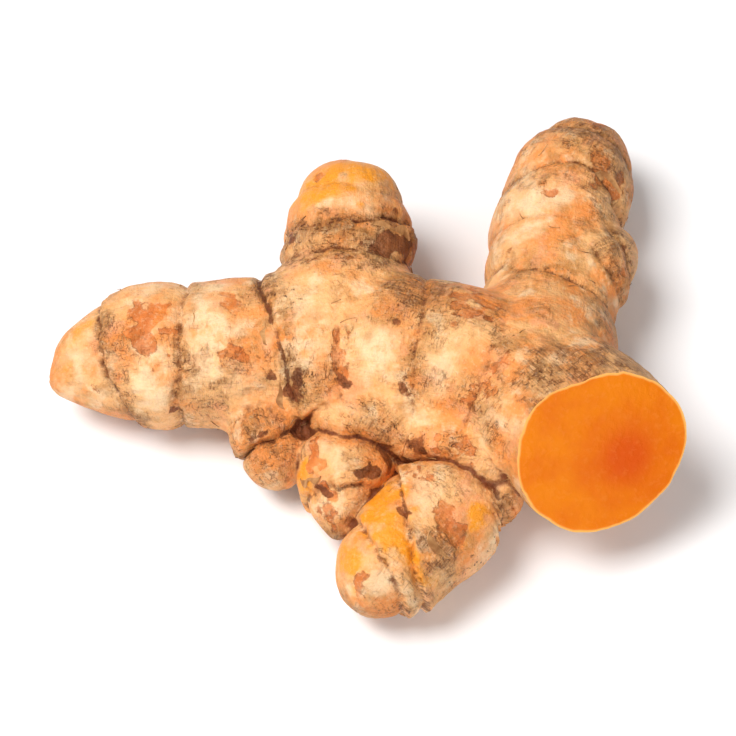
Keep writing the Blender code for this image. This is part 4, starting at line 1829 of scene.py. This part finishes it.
@dataclass
class RootHairs:
    """Short dry fibres left at the rings and in the creases."""

    ground: Ground
    number: int = 110
    girth: float = 0.07
    sides: int = 5
    joints: int = 6
    taper: float = 0.86  # at each joint
    shortest: float = 0.8
    longest: float = 2.2
    least_dust: float = 0.2  # the rings with less have no fibres
    seed: int = 77

    def build(self) -> bpy.types.Object:
        """Model one fibre, lay copies of it on the skin and join them.

        Returns:
            The finished piece, riding on its body.
        """
        draw = np.random.default_rng(self.seed)
        first = self._fibre()
        straight = points_of(first)
        rooted = [
            (shoot, ring) for shoot in SHOOTS for ring in shoot.rings if ring.dust > self.least_dust
        ]
        made = []
        for _ in range(self.number):
            shoot, ring = rooted[draw.integers(len(rooted))]
            copy = first.copy()
            copy.data = first.data.copy()
            bpy.context.scene.collection.objects.link(copy)
            left = ring.left + draw.normal(0.2, 0.7)
            turn = draw.uniform(-math.pi, math.pi)
            set_points(copy, self._laid(draw, straight, shoot.name, max(left, 0.5), turn))
            made.append(copy)
        bpy.data.objects.remove(first)
        obj = joined(made)
        turn_faces_out(obj)
        obj.data.materials.append(HairFinish().material())
        bpy.ops.object.shade_smooth()
        return finish_piece(obj, "root_hairs")

    def _fibre(self) -> bpy.types.Object:
        """A straight tapering fibre one unit (1 mm) long, along +Z.

        Returns:
            The fibre.
        """
        select_none()
        bpy.ops.mesh.primitive_circle_add(
            vertices=self.sides, radius=self.girth * MM, fill_type="NGON"
        )
        obj = bpy.context.object
        bpy.ops.object.mode_set(mode="EDIT")
        bpy.ops.mesh.select_all(action="SELECT")
        step = (0.0, 0.0, MM / self.joints)
        for _ in range(self.joints):
            bpy.ops.mesh.extrude_region_move(TRANSFORM_OT_translate={"value": step})
            bpy.ops.transform.resize(value=(self.taper, self.taper, 1.0))
        bpy.ops.object.mode_set(mode="OBJECT")
        turn_faces_out(obj)
        return obj

    def _laid(
        self, draw: np.random.Generator, straight: np.ndarray, name: str, left: float, turn: float
    ) -> np.ndarray:
        """Bend the fibre so that it creeps over the skin from its root.

        Args:
            draw: where the random numbers come from.
            straight: the straight fibre's points in mm.
            name: the shoot that it grows on.
            left: the distance of its root from the shoot's tip in mm.
            turn: the turn of its root from the top in radians.

        Returns:
            The laid fibre's points in mm.
        """
        length = draw.uniform(self.shortest, self.longest)
        lift = draw.uniform(0.02, 0.35)
        curl = draw.uniform(-0.9, 0.9)
        place, normal = self.ground.spot(name, left, turn)
        way = np.cross(normal, draw.normal(0.0, 1.0, 3))
        way /= np.linalg.norm(way)
        heights = np.unique(np.round(straight[:, 2], 4))
        laid = np.empty_like(straight)
        for height in heights:
            side = np.cross(way, normal)
            ring = np.abs(straight[:, 2] - height) < 1e-3
            laid[ring] = (
                place
                + normal * (lift * height**1.5 + 0.02)
                + side * straight[ring, 0:1]
                + normal * straight[ring, 1:2]
            )
            ahead = place + way * length / self.joints
            place, normal = self.ground.nearest(ahead)
            way = way + side * curl / self.joints
            way = way - normal * (way @ normal)
            way /= np.linalg.norm(way)
        return laid


@dataclass(frozen=True)
class Lamp:
    """A square soft lamp: where it hangs and how wide it is, in metres, and its power in watts."""

    name: str
    place: tuple
    size: float
    power: float
    tone: tuple


LAMPS = (
    Lamp("key", (-0.24, -0.02, 0.50), 0.30, 3.4, (1.0, 0.985, 0.96)),
    Lamp("fill", (0.14, -0.46, 0.32), 0.5, 1.3, (1.0, 0.98, 0.96)),
)


@dataclass
class Studio:
    """The floor, the lamps and the camera."""

    elevation: float = 58.0
    distance: float = 0.40
    lens: float = 150.0
    sensor: float = 36.0
    target: tuple = (0.74, -2.94, 10.0)
    floor_size: float = 4.0
    sky_strength: float = 0.24

    def build(self) -> None:
        """Set the floor, lamps, sky and camera."""
        self._floor()
        for lamp in LAMPS:
            self._light(lamp)
        world = bpy.data.worlds.new("studio")
        world.use_nodes = True
        sky = world.node_tree.nodes["Background"]
        sky.inputs["Color"].default_value = (1.0, 1.0, 1.0, 1.0)
        sky.inputs["Strength"].default_value = self.sky_strength
        bpy.context.scene.world = world
        bpy.context.scene.view_settings.view_transform = "Standard"
        self._camera()

    def _floor(self) -> None:
        """A wide pale sheet under the root."""
        select_none()
        bpy.ops.mesh.primitive_plane_add(size=self.floor_size)
        floor = bpy.context.object
        floor.name = "floor"
        floor.data.materials.append(FloorFinish().material())

    def _light(self, lamp: Lamp) -> None:
        """Hang a lamp so that it faces the root.

        Args:
            lamp: its place, width, power and tone.
        """
        data = bpy.data.lights.new(lamp.name, "AREA")
        data.size = lamp.size
        data.energy = lamp.power
        data.color = lamp.tone
        obj = bpy.data.objects.new(lamp.name, data)
        bpy.context.scene.collection.objects.link(obj)
        obj.location = lamp.place
        obj.rotation_mode = "QUATERNION"
        obj.rotation_quaternion = (-Vector(lamp.place)).to_track_quat("-Z", "Y")

    def _camera(self) -> None:
        """A long lens that looks down on the root from the near side."""
        data = bpy.data.cameras.new("camera")
        data.lens = self.lens
        data.sensor_width = self.sensor
        data.clip_start = 0.02
        camera = bpy.data.objects.new("camera", data)
        bpy.context.scene.collection.objects.link(camera)
        tilt = math.radians(self.elevation)
        back = Vector((0.0, -math.cos(tilt), math.sin(tilt)))
        camera.location = Vector(self.target) * MM + back * self.distance
        camera.rotation_euler = (-back).to_track_quat("-Z", "Y").to_euler()
        bpy.context.scene.camera = camera


def report(obj: bpy.types.Object) -> None:
    """Say how many triangles a piece has."""
    obj.data.calc_loop_triangles()
    LOG.info("%s: %d triangles", obj.name, len(obj.data.loop_triangles))


def main() -> None:
    """Build the root, its loose parts and the studio."""
    logging.basicConfig(level=logging.INFO, format="%(message)s")
    skin = RootBody().build()
    report(skin)
    ground = Ground(skin)
    report(ScaleScraps(ground).build())
    report(RootHairs(ground).build())
    Studio().build()


if __name__ == "__main__":
    main()
